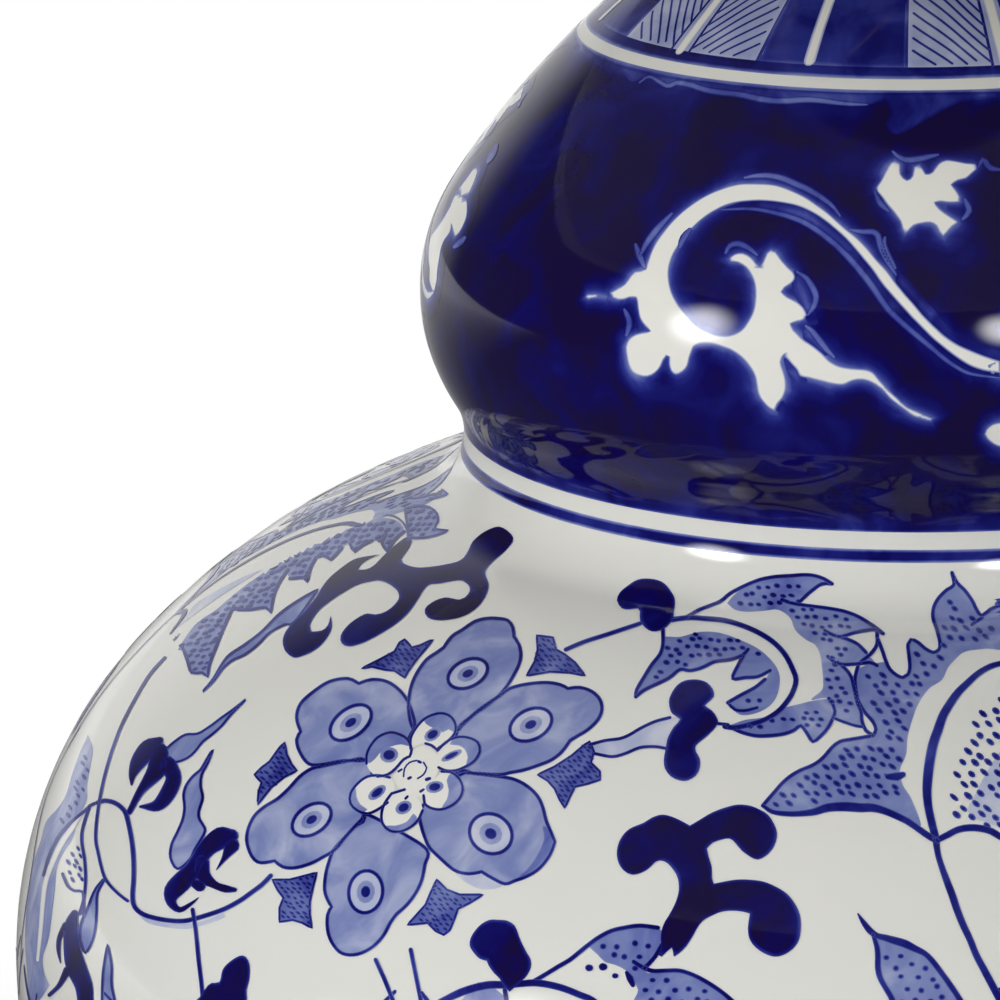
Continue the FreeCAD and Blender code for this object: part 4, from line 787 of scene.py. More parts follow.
far_lobes = [
    [(404, 532), (396, 539), (387, 551), (387, 551), (382, 543), (386, 534)],
    [(372, 541), (362, 546), (355, 552), (355, 552), (350, 544), (354, 536)],
    [(342, 548), (336, 555), (331, 560), (331, 560), (324, 556), (318, 557)],
    [(316, 558), (310, 570), (308, 582), (308, 582), (304, 578), (290, 579)],
    [(288, 570), (280, 582), (274, 596), (271, 613), (271, 613), (266, 608), (250, 610),
     (238, 610)],
    [(234, 606), (224, 628), (216, 648), (210, 664), (208, 677), (208, 677), (202, 673),
     (192, 673), (188, 662), (183, 648)],
]
limb_leaf = [(88, 735), (88, 735), (93, 750), (90, 768), (87, 788), (87, 800), (78, 820),
    (73, 838), (64, 852), (57, 868), (55, 890), (52, 915), (49, 938), (43, 958), (45, 975),
    (50, 985), (50, 985), (40, 1000), (30, 1005), (27, 970), (25, 940), (27, 905), (31, 880),
    (35, 858), (41, 840), (46, 822), (58, 808), (66, 795), (72, 775), (79, 755)]
limb_patch = [(89, 716), (95, 707), (102, 703), (101, 711), (94, 719)]
limb_rib = [(84, 812, 1), (74, 826, 2.6), (62, 843, 3), (53, 862, 2.8), (46, 882, 2.6),
    (43, 905, 2.4), (41, 930, 2.2), (38, 960, 1.6)]
limb_edge = [(63, 874), (68, 886), (75, 891), (83, 892), (84, 905), (84, 915)]
limb_dabs = [
    [(88, 745), (90, 768), (84, 800), (68, 818), (55, 830), (62, 812), (72, 798), (76, 775)],
    [(70, 845), (80, 842), (84, 862), (85, 880), (80, 888), (70, 885), (66, 865)],
]
for leaf in far_leaf_washes:
    wash(leaf_wash, leaf)
    stipple(leaf, spacing=7.5, size=1.7, lean=-25, length=2.3, seed=len(leaf))
line(far_rib, 2.2, cobalt=0.7)
for lobe in far_lobes:
    line(lobe, 3.4)
for tail in far_leaf_washes[1:]:
    line(tail, 2.8, closed=True, cobalt=0.76)
for leaf in (limb_leaf, limb_patch):
    wash(thin_wash, leaf)
for seed, region in enumerate(limb_dabs):
    stipple(region, spacing=8, size=1.7, lean=60, length=2.0, seed=11 + seed)
ribbon("reserves", curve_through(limb_rib), shade_lift, bare, faint)
line(limb_edge, 3.2)

# Leaf hands at the right: two lobed leaves that curl round a stem, washed in thin cobalt,
# outlined with a fine brush and stippled with dabs.

hand_washes = [
    [(727, 603), (727, 603), (740, 590), (760, 581), (775, 577), (790, 576), (805, 575),
     (815, 577), (832, 584), (832, 584), (813, 590), (800, 602), (830, 609), (845, 612),
     (858, 617), (868, 623), (883, 634), (883, 634), (865, 631), (845, 636), (848, 640),
     (858, 645), (866, 653), (877, 666), (860, 665), (845, 665), (838, 663), (851, 677),
     (854, 688), (856, 702), (861, 712), (862, 722), (858, 727), (843, 722), (833, 718),
     (829, 699), (811, 700), (822, 690), (823, 680), (822, 668), (820, 655), (815, 645),
     (806, 640), (795, 630), (790, 618), (778, 610), (765, 611), (748, 612), (735, 610)],
    [(663, 638), (680, 637), (700, 632), (720, 633), (740, 640), (760, 650), (775, 665),
     (780, 680), (775, 700), (760, 712), (740, 715), (728, 703), (728, 703), (740, 696),
     (755, 688), (765, 680), (770, 671), (770, 671), (758, 677), (745, 678), (733, 679),
     (733, 679), (737, 668), (743, 657), (730, 660), (715, 662), (702, 668), (690, 671),
     (680, 670), (668, 679), (645, 690), (636, 697), (636, 697), (644, 678), (652, 665),
     (660, 655)],
    [(728, 726), (728, 726), (745, 720), (765, 717), (780, 709), (800, 704), (812, 701),
     (829, 699), (832, 703), (835, 712), (833, 718), (828, 728), (820, 737), (812, 742),
     (812, 742), (805, 733), (800, 727), (785, 733), (770, 736), (755, 736), (740, 732)],
]
big_leaf_top = [(886, 662), (890, 670), (897, 676), (903, 678), (908, 675), (910, 668),
    (909, 655), (908, 645), (911, 640), (918, 643), (925, 649), (933, 653), (939, 650),
    (940, 643), (937, 630), (933, 618), (934, 607), (939, 598), (947, 590), (954, 585)]
hand_lines = [
    [(672, 621), (685, 618), (700, 610), (720, 602), (730, 594), (745, 586), (760, 580),
     (775, 577), (790, 576), (805, 575), (815, 576), (824, 579), (832, 584)],
    [(832, 584), (822, 584), (813, 590), (806, 596), (800, 602)],
    [(782, 600), (790, 603), (800, 605), (815, 607), (830, 609), (845, 612), (858, 617),
     (868, 623), (877, 629), (883, 634)],
    [(883, 634), (876, 630), (865, 631), (855, 633), (845, 636), (838, 637), (830, 634),
     (825, 631)],
    [(838, 637), (848, 640), (858, 645), (866, 653)],
    [(877, 633), (877, 645), (870, 655), (860, 663), (857, 670), (855, 680), (856, 692),
     (859, 703), (866, 714), (873, 722), (876, 730), (873, 736)],
    [(838, 663), (845, 669), (851, 677), (854, 688), (857, 702), (861, 712), (862, 722),
     (866, 731), (872, 735)],
    [(835, 663), (845, 665), (860, 664), (870, 663), (877, 666)],
    [(828, 657), (835, 663)],
    [(878, 640), (882, 650), *big_leaf_top, (952, 573)],
    [(952, 573), (957, 583), (965, 591), (972, 601), (977, 611), (982, 616), (990, 610),
     (1000, 606), (1012, 602)],
    [(982, 618), (972, 625)],
    [(663, 630), (663, 645), (660, 655), (652, 665), (644, 678), (637, 690), (636, 697)],
    [(636, 697), (645, 690), (668, 679), (680, 670), (690, 671), (702, 668), (715, 662),
     (730, 660), (742, 656), (748, 650)],
    [(743, 657), (737, 668), (733, 679), (745, 678), (758, 677), (770, 671)],
    [(765, 680), (755, 688), (740, 696), (728, 703)],
    [(728, 726), (740, 732), (755, 736), (770, 736), (785, 734), (795, 730), (801, 726),
     (808, 735), (813, 742), (820, 737), (828, 728), (833, 718), (835, 712), (832, 703),
     (829, 699)],
]
hand_fine_lines = [
    [(728, 703), (735, 710), (745, 711), (757, 708)],
    [(833, 718), (843, 722), (855, 726), (862, 727)],
    [(718, 724), (728, 725)],
]
curl_stem = [(672, 620), (690, 618), (705, 619), (725, 621), (745, 627), (762, 635), (775, 644),
    (785, 655), (792, 668), (796, 680), (793, 692), (787, 702), (778, 712), (765, 720),
    (750, 725), (735, 728), (725, 727)]
hand_dabs = [
    [(668, 640), (700, 633), (740, 640), (770, 658), (774, 680), (768, 700), (750, 706),
     (735, 702), (770, 690), (772, 664), (735, 655), (700, 662), (665, 675), (648, 685),
     (660, 660)],
    [(735, 604), (760, 585), (800, 580), (812, 583), (798, 598), (830, 612), (868, 628),
     (835, 632), (832, 640), (862, 655), (838, 660), (852, 695), (854, 718), (838, 714),
     (826, 694), (826, 650), (798, 628), (785, 608), (760, 607)],
    [(745, 726), (790, 714), (826, 704), (826, 724), (812, 734), (800, 722), (760, 731)],
]
for leaf in hand_washes:
    wash(leaf_wash, leaf)
for edge in hand_lines:
    line(edge, 4.1)
for edge in hand_fine_lines:
    line(edge, 3.5)
line(curl_stem, 5.4)
for seed, region in enumerate(hand_dabs):
    stipple(region, spacing=9.6, size=2.5, lean=15, length=1.4, seed=20 + seed)

# Big leaf: a broad lobed leaf with a heavy rib, washed, outlined and stippled, and beside
# it the pale lining of the next one, stippled in long dabs.

big_leaf_edge = [(873, 736), (862, 738), (850, 740), (840, 742), (832, 748), (826, 755),
    (820, 761), (812, 766), (800, 771), (790, 777), (782, 784), (775, 792), (768, 800),
    (763, 806)]
big_leaf = big_leaf_top + [(965, 591), (972, 601), (982, 616), (990, 610), (1000, 606),
    (1012, 602), (1012, 646), (985, 649), (965, 652), (955, 660), (948, 668), (942, 680),
    (930, 688), (922, 698), (915, 712), (908, 735), (906, 755), (900, 770), (903, 785),
    (912, 800), (921, 826), (908, 820), (896, 813), (884, 808), (872, 805), (858, 804),
    (835, 806), (815, 810), (800, 812), (785, 812), (770, 810), (763, 806)] + big_leaf_edge[::-1]
big_leaf += [(876, 726), (866, 714), (859, 703), (856, 692), (857, 670)]
big_leaf_strokes = [
    [(763, 806, 2), (772, 812, 2.4), (785, 814, 2.8), (800, 814, 3), (815, 812, 3.8),
     (828, 808, 4.4), (845, 807, 4.8), (860, 808, 4.8), (872, 808, 4.4), (884, 811, 3.8),
     (896, 816, 3.6), (908, 822, 3.4), (918, 829, 3.3), (928, 836, 3.4), (936, 841, 3)],
    [(888, 777, 3), (897, 777, 4.5), (903, 775, 3)],
    [(1012, 660, 2.6), (1000, 664, 2.8), (990, 667, 3), (978, 674, 3.2), (968, 683, 3.6),
     (958, 693, 4), (950, 704, 4.3), (943, 716, 4.5), (938, 730, 4.8), (933, 745, 5),
     (930, 760, 5), (928, 775, 5), (927, 790, 4.6), (928, 805, 4.2), (931, 820, 4), (934, 832, 4),
     (937, 841, 3.5)],
    [(1012, 842, 3), (1000, 837, 3.3), (992, 832, 3.5), (982, 829, 3.6), (970, 828, 3.6),
     (958, 830, 3.4), (948, 835, 3.3), (938, 840, 3)],
    [(936, 841, 3.6), (938, 855, 3), (942, 868, 3.2), (947, 882, 3.6), (952, 895, 3.8),
     (957, 910, 3.7), (963, 925, 3.6), (970, 940, 3.5), (976, 955, 3.5), (984, 970, 3.7),
     (992, 985, 3.8), (1000, 1000, 3.8), (1008, 1014, 3.6)],
]
big_leaf_dabs = [(862, 668), (880, 668), (905, 682), (912, 650), (935, 658), (942, 605),
    (955, 592), (970, 612), (990, 620), (990, 640), (950, 652), (935, 676), (920, 690),
    (914, 715), (905, 740), (902, 765), (905, 790), (890, 800), (850, 800), (800, 806),
    (772, 806), (800, 776), (830, 762), (850, 746), (875, 742), (882, 725), (868, 700)]
lining = [(1012, 745), (1000, 752), (985, 775), (975, 795), (968, 808), (972, 818), (985, 822),
    (1000, 828), (1012, 832)]
lining_dabs = [(1012, 690), (990, 700), (968, 730), (955, 770), (950, 810), (958, 822),
    (975, 822), (1012, 830)]
wash(leaf_wash, big_leaf)
line(big_leaf_edge, 4.2)
for stroke in big_leaf_strokes:
    brush(stroke)
stipple(big_leaf_dabs, spacing=11.5, size=2.8, lean=35, length=1.7, seed=31)
wash(faint, lining)
stipple(lining_dabs, spacing=13, size=3.0, lean=40, length=1.7, seed=32,
        coat="lining_dabs")

# Lower leaves: the tips that show at the photograph's lower edge, painted as the leaves
# above them are.

low_leaves = [
    [(860, 918), (870, 931), (877, 935), (885, 937), (895, 939), (905, 943), (915, 949),
     (925, 954), (933, 962), (942, 974), (950, 985), (958, 997), (962, 1010), (895, 1010),
     (891, 997), (885, 987), (880, 977), (878, 967), (878, 957), (877, 947), (873, 937)],
    [(588, 944), (600, 936), (615, 930), (640, 928), (661, 930), (660, 945), (652, 957),
     (645, 967), (648, 973), (665, 971), (680, 971), (695, 975), (708, 982), (720, 990),
     (735, 1002), (735, 1010), (640, 1010), (638, 990), (632, 978), (625, 970), (615, 965),
     (605, 962), (598, 955)],
]
low_strokes = [
    [(858, 914, 0.8), (863, 922, 2.5), (870, 931, 3.4), (877, 936, 3), (885, 938, 3.4),
     (895, 941, 4), (905, 944, 4.2), (915, 949, 3.6), (925, 954, 3), (933, 962, 3), (942, 974, 3),
     (950, 985, 3), (958, 997, 3), (966, 1010, 2.8)],
    [(873, 935, 2), (877, 947, 2.8), (878, 957, 3), (878, 967, 3.2), (880, 977, 3.2),
     (885, 987, 3), (891, 997, 3), (896, 1010, 2.8)],
    [(440, 1002, 3), (447, 999, 3.5), (460, 993, 4), (475, 988, 4), (490, 985, 4),
     (505, 985, 3.8), (520, 984, 3.4), (535, 983, 3.6), (550, 985, 3.6), (565, 989, 3.5),
     (580, 995, 3.4), (592, 1000, 3.3), (604, 1010, 3)],
    [(627, 973, 2), (630, 978, 3.5), (633, 985, 2.5)],
    [(589, 968, 3.6), (590, 968, 3.4)],
    [(603, 967, 4), (604, 967, 3.6)],
    [(615, 976, 2.8), (616, 976, 2.6)],
]
low_lines = [
    [(505, 990), (508, 1010)],
    [(533, 982), (545, 975), (558, 967), (570, 960), (580, 952), (590, 944), (600, 937),
     (612, 931), (625, 928), (640, 926), (658, 928)],
    [(662, 945), (655, 957), (645, 968)],
    [(634, 962), (642, 967), (652, 971), (665, 971), (680, 971), (695, 976), (708, 983),
     (720, 991), (731, 1000), (742, 1012)],
]
low_dabs = [
    [(884, 945), (905, 950), (925, 962), (940, 985), (950, 1010), (905, 1010), (895, 985),
     (884, 965)],
    [(600, 944), (640, 934), (655, 940), (645, 960), (665, 978), (700, 984), (720, 1000),
     (725, 1012), (650, 1012), (640, 985), (625, 962), (605, 958)],
]
for leaf in low_leaves:
    wash(leaf_wash, leaf)
for stroke in low_strokes:
    brush(stroke)
for edge in low_lines:
    line(edge, 4.7)
for seed, region in enumerate(low_dabs):
    stipple(region, spacing=13.8, size=3.1, lean=0, length=1.1, seed=40 + seed)

# Lower row: the photograph ends above the belly's widest turn. The same motifs go on
# below, mirrored and an eighth of a turn on, as such bodies are painted, and short stems
# join the two rows.

mirror_height = 150
joining_stems = [  # turn in degrees, height in mm, half-width in mm
    [(-32.6, 160, 0.3), (-35.5, 153, 0.32), (-40, 145, 0.34), (-40.4, 134, 0.34)],
    [(-30.7, 160.5, 0.3), (-26.0, 154, 0.3), (-24.5, 146, 0.3), (-28.0, 139, 0.28)],
    [(4.7, 166, 0.35), (6.5, 158, 0.36), (12.5, 150, 0.34), (13.9, 138, 0.3)],
    [(-47.4, 153, 0.3), (-50, 148, 0.3), (-54, 146, 0.3), (-58, 147, 0.25)],
]


def on_chart(run):
    """Smooth run through (turn, height, half-width) on the chart, and its mean radius."""
    run = curve_through(run, step=1.5)
    places = charted(run[:, :2])
    radius = np.interp(places[:, 1], climb, side[:, 0])
    return np.column_stack([places, run[:, 2] * MM / radius]), radius.mean()


level = 2 * np.interp(mirror_height * MM, side[:, 1], climb)
for name, parts in coats.items():
    for spots, faces in list(parts):
        turned = spots.copy()
        turned[:, 0] += math.pi / 4
        turned[:, 1] = level - turned[:, 1]
        lay(name, turned, faces)
for stem in joining_stems:
    ribbon("lines", on_chart(stem)[0], line_lift, drawn, 0.5, place=np.asarray, soft=0.0014)

# Foot border: a ring of small pointed panels between two pairs of lines, as on most
# bodies of this kind; the photograph doesn't show it.

border_low, border_high, panels = 40.4, 49.4, 8
ring_lines = [(36.0, 0.8), (38.6, 0.35), (border_high, 0.35), (51.6, 0.6)]  # height, half-width


def ring_band(coat, levels):
    """Quarter of a ring round the axis through levels of (height in mm, cobalt)."""
    across = 60
    known = [height for height, _ in levels]
    heights = sorted({*known, *np.arange(known[0] + 1, known[-1] - 0.3, 1.0)})
    levels = [(height, np.interp(height, known, [cobalt for _, cobalt in levels]))
              for height in heights]
    climbs = charted([(0, height) for height in heights])[:, 1]
    spots = [(math.radians(90 * k / across - 45), up, wash_lift * MM, level[1])
             for up, level in zip(climbs, levels) for k in range(across + 1)]
    row = across + 1
    faces = [(row * i + k, row * i + k + 1, row * (i + 1) + k + 1, row * (i + 1) + k)
             for i in range(len(levels) - 1) for k in range(across)]
    lay(coat, spots, faces)


for height, half in ring_lines:
    ring_band("bands", [(height - half, 0.5), (height - 0.7 * half, drawn),
                        (height + 0.7 * half, drawn), (height + half, 0.5)])
panel_turn = 90 / panels
panel_middle, panel_reach = (border_low + border_high) / 2, 0.45 * (border_high - border_low)
for k in range(panels):
    middle = -45 + (k + 0.5) * panel_turn
    for part, tone, lift in ((1.0, drawn, wash_lift), (0.8, bare, over_lift),
                             (0.55, leaf_wash, shade_lift)):
        half = 0.46 * panel_turn * part
        top, low = panel_middle + panel_reach * part, panel_middle - panel_reach * part
        right = [(middle + half, low), (middle + half, low), (middle + half, panel_middle),
                 (middle + 0.6 * half, top - 1.8 * part), (middle, top)]
        shape = right + [(2 * middle - x, z) for x, z in right[::-1]]
        outline = charted(curve_through(shape, closed=True, step=1.2))
        fill("border", outline, lift, tone, 0.8 * tone)

# Dark ground: the bulb is filled with several coats of thick cobalt between a blue line
# round the waist and a white ring left bare under the neck.

waist_line = [(205.1, 0.3), (205.5, drawn), (206.3, drawn), (206.75, 0.3)]
field = [(209.05, 0.55), (209.4, 0.84), (210.6, 0.87), (212.2, 0.97), (260, 0.97),
         (262, 0.9), (263.2, 0.72), (263.7, 0.4)]
neck_line = [(264.9, 0.35), (265.35, 0.84), (266.4, 0.88), (266.9, 0.8)]
ring_band("bands", waist_line)
ring_band("field", field)
ring_band("bands", neck_line)

# Scroll: the white stem and leaves are left bare in the dark ground, with a bluer edge
# where the brush went round them and thin grey-blue lines that follow the stem.

stem_high_side = [(896, 283), (905, 294), (914, 304), (923, 315), (934, 326), (945, 336),
    (957, 344), (970, 350), (985, 356), (1000, 361)]
stem_low_side = [(742, 202), (760, 201), (775, 202), (788, 204), (800, 207), (813, 213),
    (825, 221), (836, 230), (846, 239), (855, 249), (864, 260), (873, 271), (882, 284),
    (892, 296), (901, 306), (911, 317), (922, 328), (933, 339), (945, 349), (957, 358),
    (970, 366), (985, 371), (1000, 373)]
scroll = [(610, 293), (610, 293), (617, 289), (625, 284), (631, 276), (635, 272), (641, 271),
    (646, 269), (646, 269), (648, 262), (651, 253), (656, 243), (663, 233), (671, 223),
    (680, 214), (690, 206), (702, 198), (714, 192), (728, 187), (742, 184), (760, 184),
    (775, 185), (790, 190), (805, 197), (817, 205), (828, 213), (838, 222), (847, 230),
    (857, 238), (867, 248), (877, 260), (887, 271)]
scroll += stem_high_side + [(1000, 361), (1000, 373)] + stem_low_side[::-1]
scroll += [(728, 205), (715, 211), (703, 219), (692, 229), (684, 239), (676, 250), (671, 261),
    (669, 272), (670, 283), (673, 294), (679, 305), (687, 315), (696, 325), (706, 331),
    (718, 335), (730, 335), (741, 330), (748, 321), (753, 311), (755, 300), (755, 288),
    (752, 277), (746, 268), (738, 263), (731, 262), (731, 262), (729, 259), (735, 254),
    (743, 253), (751, 257), (756, 263), (760, 267), (760, 267), (763, 262), (767, 253),
    (771, 250), (776, 252), (781, 259), (788, 267), (794, 273), (795, 279), (791, 284),
    (785, 288), (782, 292), (782, 292), (788, 297), (796, 301), (803, 307), (807, 315),
    (804, 320), (797, 322), (791, 324), (791, 324), (794, 330), (797, 333), (803, 339),
    (812, 345), (822, 353), (830, 361), (840, 366), (852, 368), (865, 369), (873, 372),
    (880, 380), (888, 389), (897, 397), (903, 403), (908, 407), (917, 411), (926, 415),
    (933, 418), (933, 418), (931, 421), (922, 419), (913, 416), (906, 411), (899, 406),
    (890, 399), (882, 390), (872, 383), (862, 380), (853, 381), (843, 385), (832, 384),
    (820, 381), (808, 378), (800, 376), (797, 370), (790, 362), (784, 355), (784, 355),
    (781, 362), (784, 372), (786, 380), (786, 390), (783, 398), (778, 404), (775, 411),
    (775, 411), (769, 408), (763, 402), (758, 393), (755, 377), (749, 366), (742, 358),
    (732, 351), (722, 347), (712, 344), (700, 344), (694, 347), (692, 352), (690, 358),
    (688, 366), (683, 372), (676, 375), (671, 371), (669, 364), (669, 357), (667, 356),
    (667, 356), (664, 360), (661, 367), (656, 373), (648, 377), (640, 376), (633, 372),
    (629, 365), (627, 356), (626, 347), (629, 339), (636, 334), (644, 332), (650, 331),
    (650, 331), (645, 326), (640, 319), (638, 310), (637, 301), (636, 298), (630, 298),
    (624, 300), (618, 300), (613, 298)]
maple_leaf = [(895, 161), (900, 164), (901, 174), (907, 180), (912, 176), (914, 167), (919, 165),
    (923, 169), (926, 174), (932, 172), (938, 164), (946, 160), (956, 161), (966, 163),
    (975, 164), (978, 168), (972, 174), (966, 179), (958, 181), (952, 185), (952, 185),
    (956, 190), (960, 197), (960, 202), (950, 203), (940, 202), (935, 203), (935, 203),
    (940, 209), (948, 215), (957, 221), (958, 223), (952, 227), (947, 233), (943, 237),
    (943, 237), (939, 232), (936, 226), (930, 223), (922, 224), (914, 226), (909, 231),
    (905, 234), (905, 234), (902, 229), (900, 222), (893, 212), (887, 205), (882, 198),
    (877, 192), (876, 188), (881, 180), (886, 171), (891, 163)]
side_bit = [(1008, 422), (1000, 422), (992, 424), (986, 429), (984, 434), (987, 439), (993, 444),
    (1000, 447), (1008, 448)]
far_leaf = [(456, 195), (450, 208), (443, 220), (436, 230), (431, 238), (429, 257), (430, 270),
    (430, 282), (434, 294), (434, 294), (437, 282), (438, 270), (440, 257), (442, 247),
    (445, 240), (450, 233), (452, 226), (452, 226), (453, 230), (455, 237), (455, 237),
    (458, 235), (463, 227), (467, 217), (468, 207), (467, 200), (463, 196)]
far_stem = [(476, 170, 2.5), (471, 180, 4), (464, 192, 5.5)]
stem_shadow_edge = [(722, 210), (745, 209), (760, 210), (775, 213), (790, 217), (803, 222),
    (815, 229), (826, 237), (838, 247), (850, 259), (862, 273), (872, 286), (880, 298),
    (888, 309), (897, 318), (908, 328), (920, 338), (932, 348), (945, 359), (958, 368),
    (972, 374), (1000, 378)]
stem_shadow = stem_low_side + [(1000, 373), (1000, 378)] + stem_shadow_edge[::-1]
leaf_back = [(898, 272), (905, 277), (915, 287), (925, 299), (935, 311), (945, 324), (955, 334),
    (967, 342), (985, 348), (1000, 352)] + stem_high_side[::-1]
fringes = [
    [(795, 270), (806, 282), (812, 297), (815, 312), (818, 324), (808, 322), (800, 305),
     (792, 290)],
    [(805, 325), (815, 330), (824, 340), (830, 352), (824, 356), (812, 346), (803, 338)],
    [(784, 358), (793, 364), (801, 373), (808, 381), (798, 384), (788, 374)],
    [(776, 410), (783, 400), (786, 404), (780, 413)],
]
accents = [
    [(745, 178), (757, 176), (770, 176), (783, 179), (795, 184), (810, 191), (823, 199),
     (833, 207), (840, 216)],
    [(850, 230), (862, 232), (873, 232), (878, 236), (880, 245), (884, 256), (890, 266),
     (896, 275)],
    [(885, 238), (884, 246), (888, 256), (895, 268)],
    [(636, 245), (640, 256), (645, 268)],
    [(625, 310), (630, 322), (627, 335)],
    [(690, 230), (684, 238), (680, 247)],
    [(488, 162), (493, 153), (497, 145)],
    [(465, 238), (460, 243), (455, 247)],
    [(893, 152), (897, 156), (905, 160), (915, 160), (925, 158), (938, 155)],
    [(875, 192), (880, 203), (888, 211)],
    [(965, 200), (969, 211), (963, 219)],
    [(978, 168), (983, 160), (990, 168), (1000, 170)],
    [(797, 272), (806, 278), (812, 287), (816, 297), (814, 306), (808, 315)],
    [(806, 326), (812, 331), (819, 340), (827, 350), (834, 357)],
    [(726, 253), (730, 246), (738, 244), (748, 248), (757, 255)],
    [(640, 256), (648, 242), (659, 228), (672, 214)],
]
spur_bit = [(588, 297, 2.5), (595, 296, 2), (606, 297, 1)]
ring_fringe = [(582, 44), (590, 50), (610, 62), (660, 75), (710, 82), (760, 88), (810, 91),
    (860, 93), (910, 93), (1000, 92), (1000, 92), (1000, 97), (960, 103), (930, 118), (905, 132),
    (893, 134), (886, 126), (890, 112), (885, 100), (885, 100), (867, 105), (845, 103),
    (810, 100), (775, 101), (740, 95), (710, 91), (690, 84), (677, 83), (667, 86), (650, 76),
    (632, 82), (625, 75), (610, 63), (596, 66), (586, 56), (586, 56)]
fringe_edge = [(640, 83), (650, 77), (667, 86), (677, 83), (690, 85), (710, 91), (740, 95),
    (775, 101), (810, 100), (845, 104), (867, 105)]
reserve_lift = 0.07
scroll_stem = [  # turn in degrees, height in mm, half-width in mm
    (7.8, 232.0, 0.75), (11, 230.4, 0.75), (14.5, 230.0, 0.6), (17.3, 231.2, 0.3),
]
glow = [(0.0, 0.56), (0.3, 0.66), (0.8, 0.79), (1.6, 0.89), (2.8, 0.97)]  # mm away, cobalt
ground_low, ground_high = 210.4, 262.6
bare_shapes = []


def stroke_outline(run):
    """Closed outline round a stroke of (x, y, half-width)."""
    along, across = sideways(np.gradient(run[:, :2], axis=0))
    across *= run[:, 2:]
    start, end = run[0, :2] - along[0] * run[0, 2], run[-1, :2] + along[-1] * run[-1, 2]
    return np.concatenate([[start], run[:, :2] + across, [end], (run[:, :2] - across)[::-1]])


def glow_round(number):
    """Bluer paint round a bare shape, fading into the dark ground."""
    outline = bare_shapes[number]
    unit = MM / np.interp(outline[:, 1].mean(), climb, side[:, 0])
    _, across = sideways(np.roll(outline, -1, axis=0) - np.roll(outline, 1, axis=0))
    rings = [outline]
    for reach, _ in glow[1:]:
        for way in (-1, 1):
            ring = outline + way * reach * unit * across
            distance, inside = edge_distance(ring, outline)
            rings.append(ring[~inside & (distance > 0.9 * reach * unit)])
    count = len(outline)
    verts, _, faces, *_ = delaunay_2d_cdt(
        [Vector(spot) for spot in np.concatenate(rings)],
        [(i, (i + 1) % count) for i in range(count)], [], 0, 1e-7)
    verts = np.array([tuple(vert) for vert in verts])
    nearest = np.min([edge_distance(verts, shape)[0] for shape in bare_shapes], axis=0) / unit
    distance, inside = edge_distance(np.array([verts[list(face)].mean(0) for face in faces]),
                                     outline)
    low, high = charted([(0, ground_low), (0, ground_high)])[:, 1]
    kept = [face for face, far, within in zip(faces, distance / unit, inside)
            if not within and far < glow[-1][0]
            and low < verts[list(face), 1].min() and verts[list(face), 1].max() < high]
    cobalt = np.interp(nearest, *zip(*glow))
    lifts = np.full(len(verts), (wash_lift + 0.015 + 0.002 * number) * MM)
    lay("halo", np.column_stack([verts, lifts, cobalt]), kept)


def stem_at(run, tone, edge_tone, soft):
    """Stroke on the neck or bulb through points given as turn, height and half-width."""
    run, radius = on_chart(run)
    ribbon("neck_lines", run, line_lift, tone, edge_tone, place=np.asarray,
           soft=soft * MM / radius)


for shape in (far_leaf, maple_leaf, side_bit, scroll):
    bare_shapes.append(sighted(curve_through(shape, closed=True)))
for stroke in (far_stem, spur_bit):
    bare_shapes.append(sighted(stroke_outline(curve_through(stroke))))
bare_shapes.append(stroke_outline(on_chart(scroll_stem)[0]))
for number, shape in enumerate(bare_shapes):
    glow_round(number)
    fill("reserves", shape, reserve_lift, bare, 0.52, soft=0.28)
for shape in (stem_shadow, leaf_back, *fringes):
    fill("accents", sighted(curve_through(shape, closed=True)), over_lift + 0.02, 0.66, 0.80,
         soft=0.8)
fill("accents", sighted(curve_through(ring_fringe, closed=True)), over_lift, 0.70, 0.78, soft=0.5)
for accent in accents + [stem_shadow_edge, fringe_edge]:
    run = curve_through(accent)
    swell = np.sin(np.pi * (np.arange(len(run)) + 0.5) / len(run)) ** 0.6
    ribbon("accents", np.column_stack([run, 0.6 + 3.2 * swell]), line_lift, 0.56, 0.82, soft=3.4)

# Neck: standing leaves, light and dark by turns, rise from the white ring to the mouth.
# Only their feet are in the photograph.

leaf_pairs, light_turn, dark_turn = 6, 14.6, -15.2
leaf_foot, leaf_tip = 266.2, 322.0
light_half, dark_half, vein_gap = 17.2, 12.9, 1.35
mouth_line = [(324.2, 0.5), (324.4, drawn), (325.4, drawn), (325.6, 0.5)]
mouth_band = [(327.0, 0.5), (327.2, drawn), (330.4, drawn), (330.6, 0.5)]


def neck_leaf(middle, half, foot, tip):
    """Closed outline of a standing leaf, in degrees and mm."""
    waist = foot + 0.55 * (tip - foot)
    right = [(middle + half, foot), (middle + half, foot), (middle + 1.02 * half, foot + 12),
             (middle + half, waist), (middle + 0.72 * half, tip - 9), (middle, tip)]
    return right + [(middle, tip)] + [(2 * middle - x, z) for x, z in right[-2::-1]]


def veins(light, way):
    """Thin hatching from a light leaf's rib out to one side, cut off at the leaf's edge."""
    spread = light_half - 1.5
    for foot in np.arange(leaf_foot - 5, leaf_tip - 18, vein_gap):
        reach = [(light + 2.4 * way, foot), (light + (2.4 + spread) / 2 * way, foot + 4.0),
                 (light + spread * way, foot + 6.8)]
        seen = [(x, z, 0.2) for x, z in curve_through(reach, step=1.0)
                if leaf_foot + 0.2 < z < leaf_tip - 8
                and abs(x - light) < (light_half - 1) * min(1, (leaf_tip - 3 - z) / 18)]
        if len(seen) > 2:
            stem_at(seen, 0.78, 0.5, 0.12)


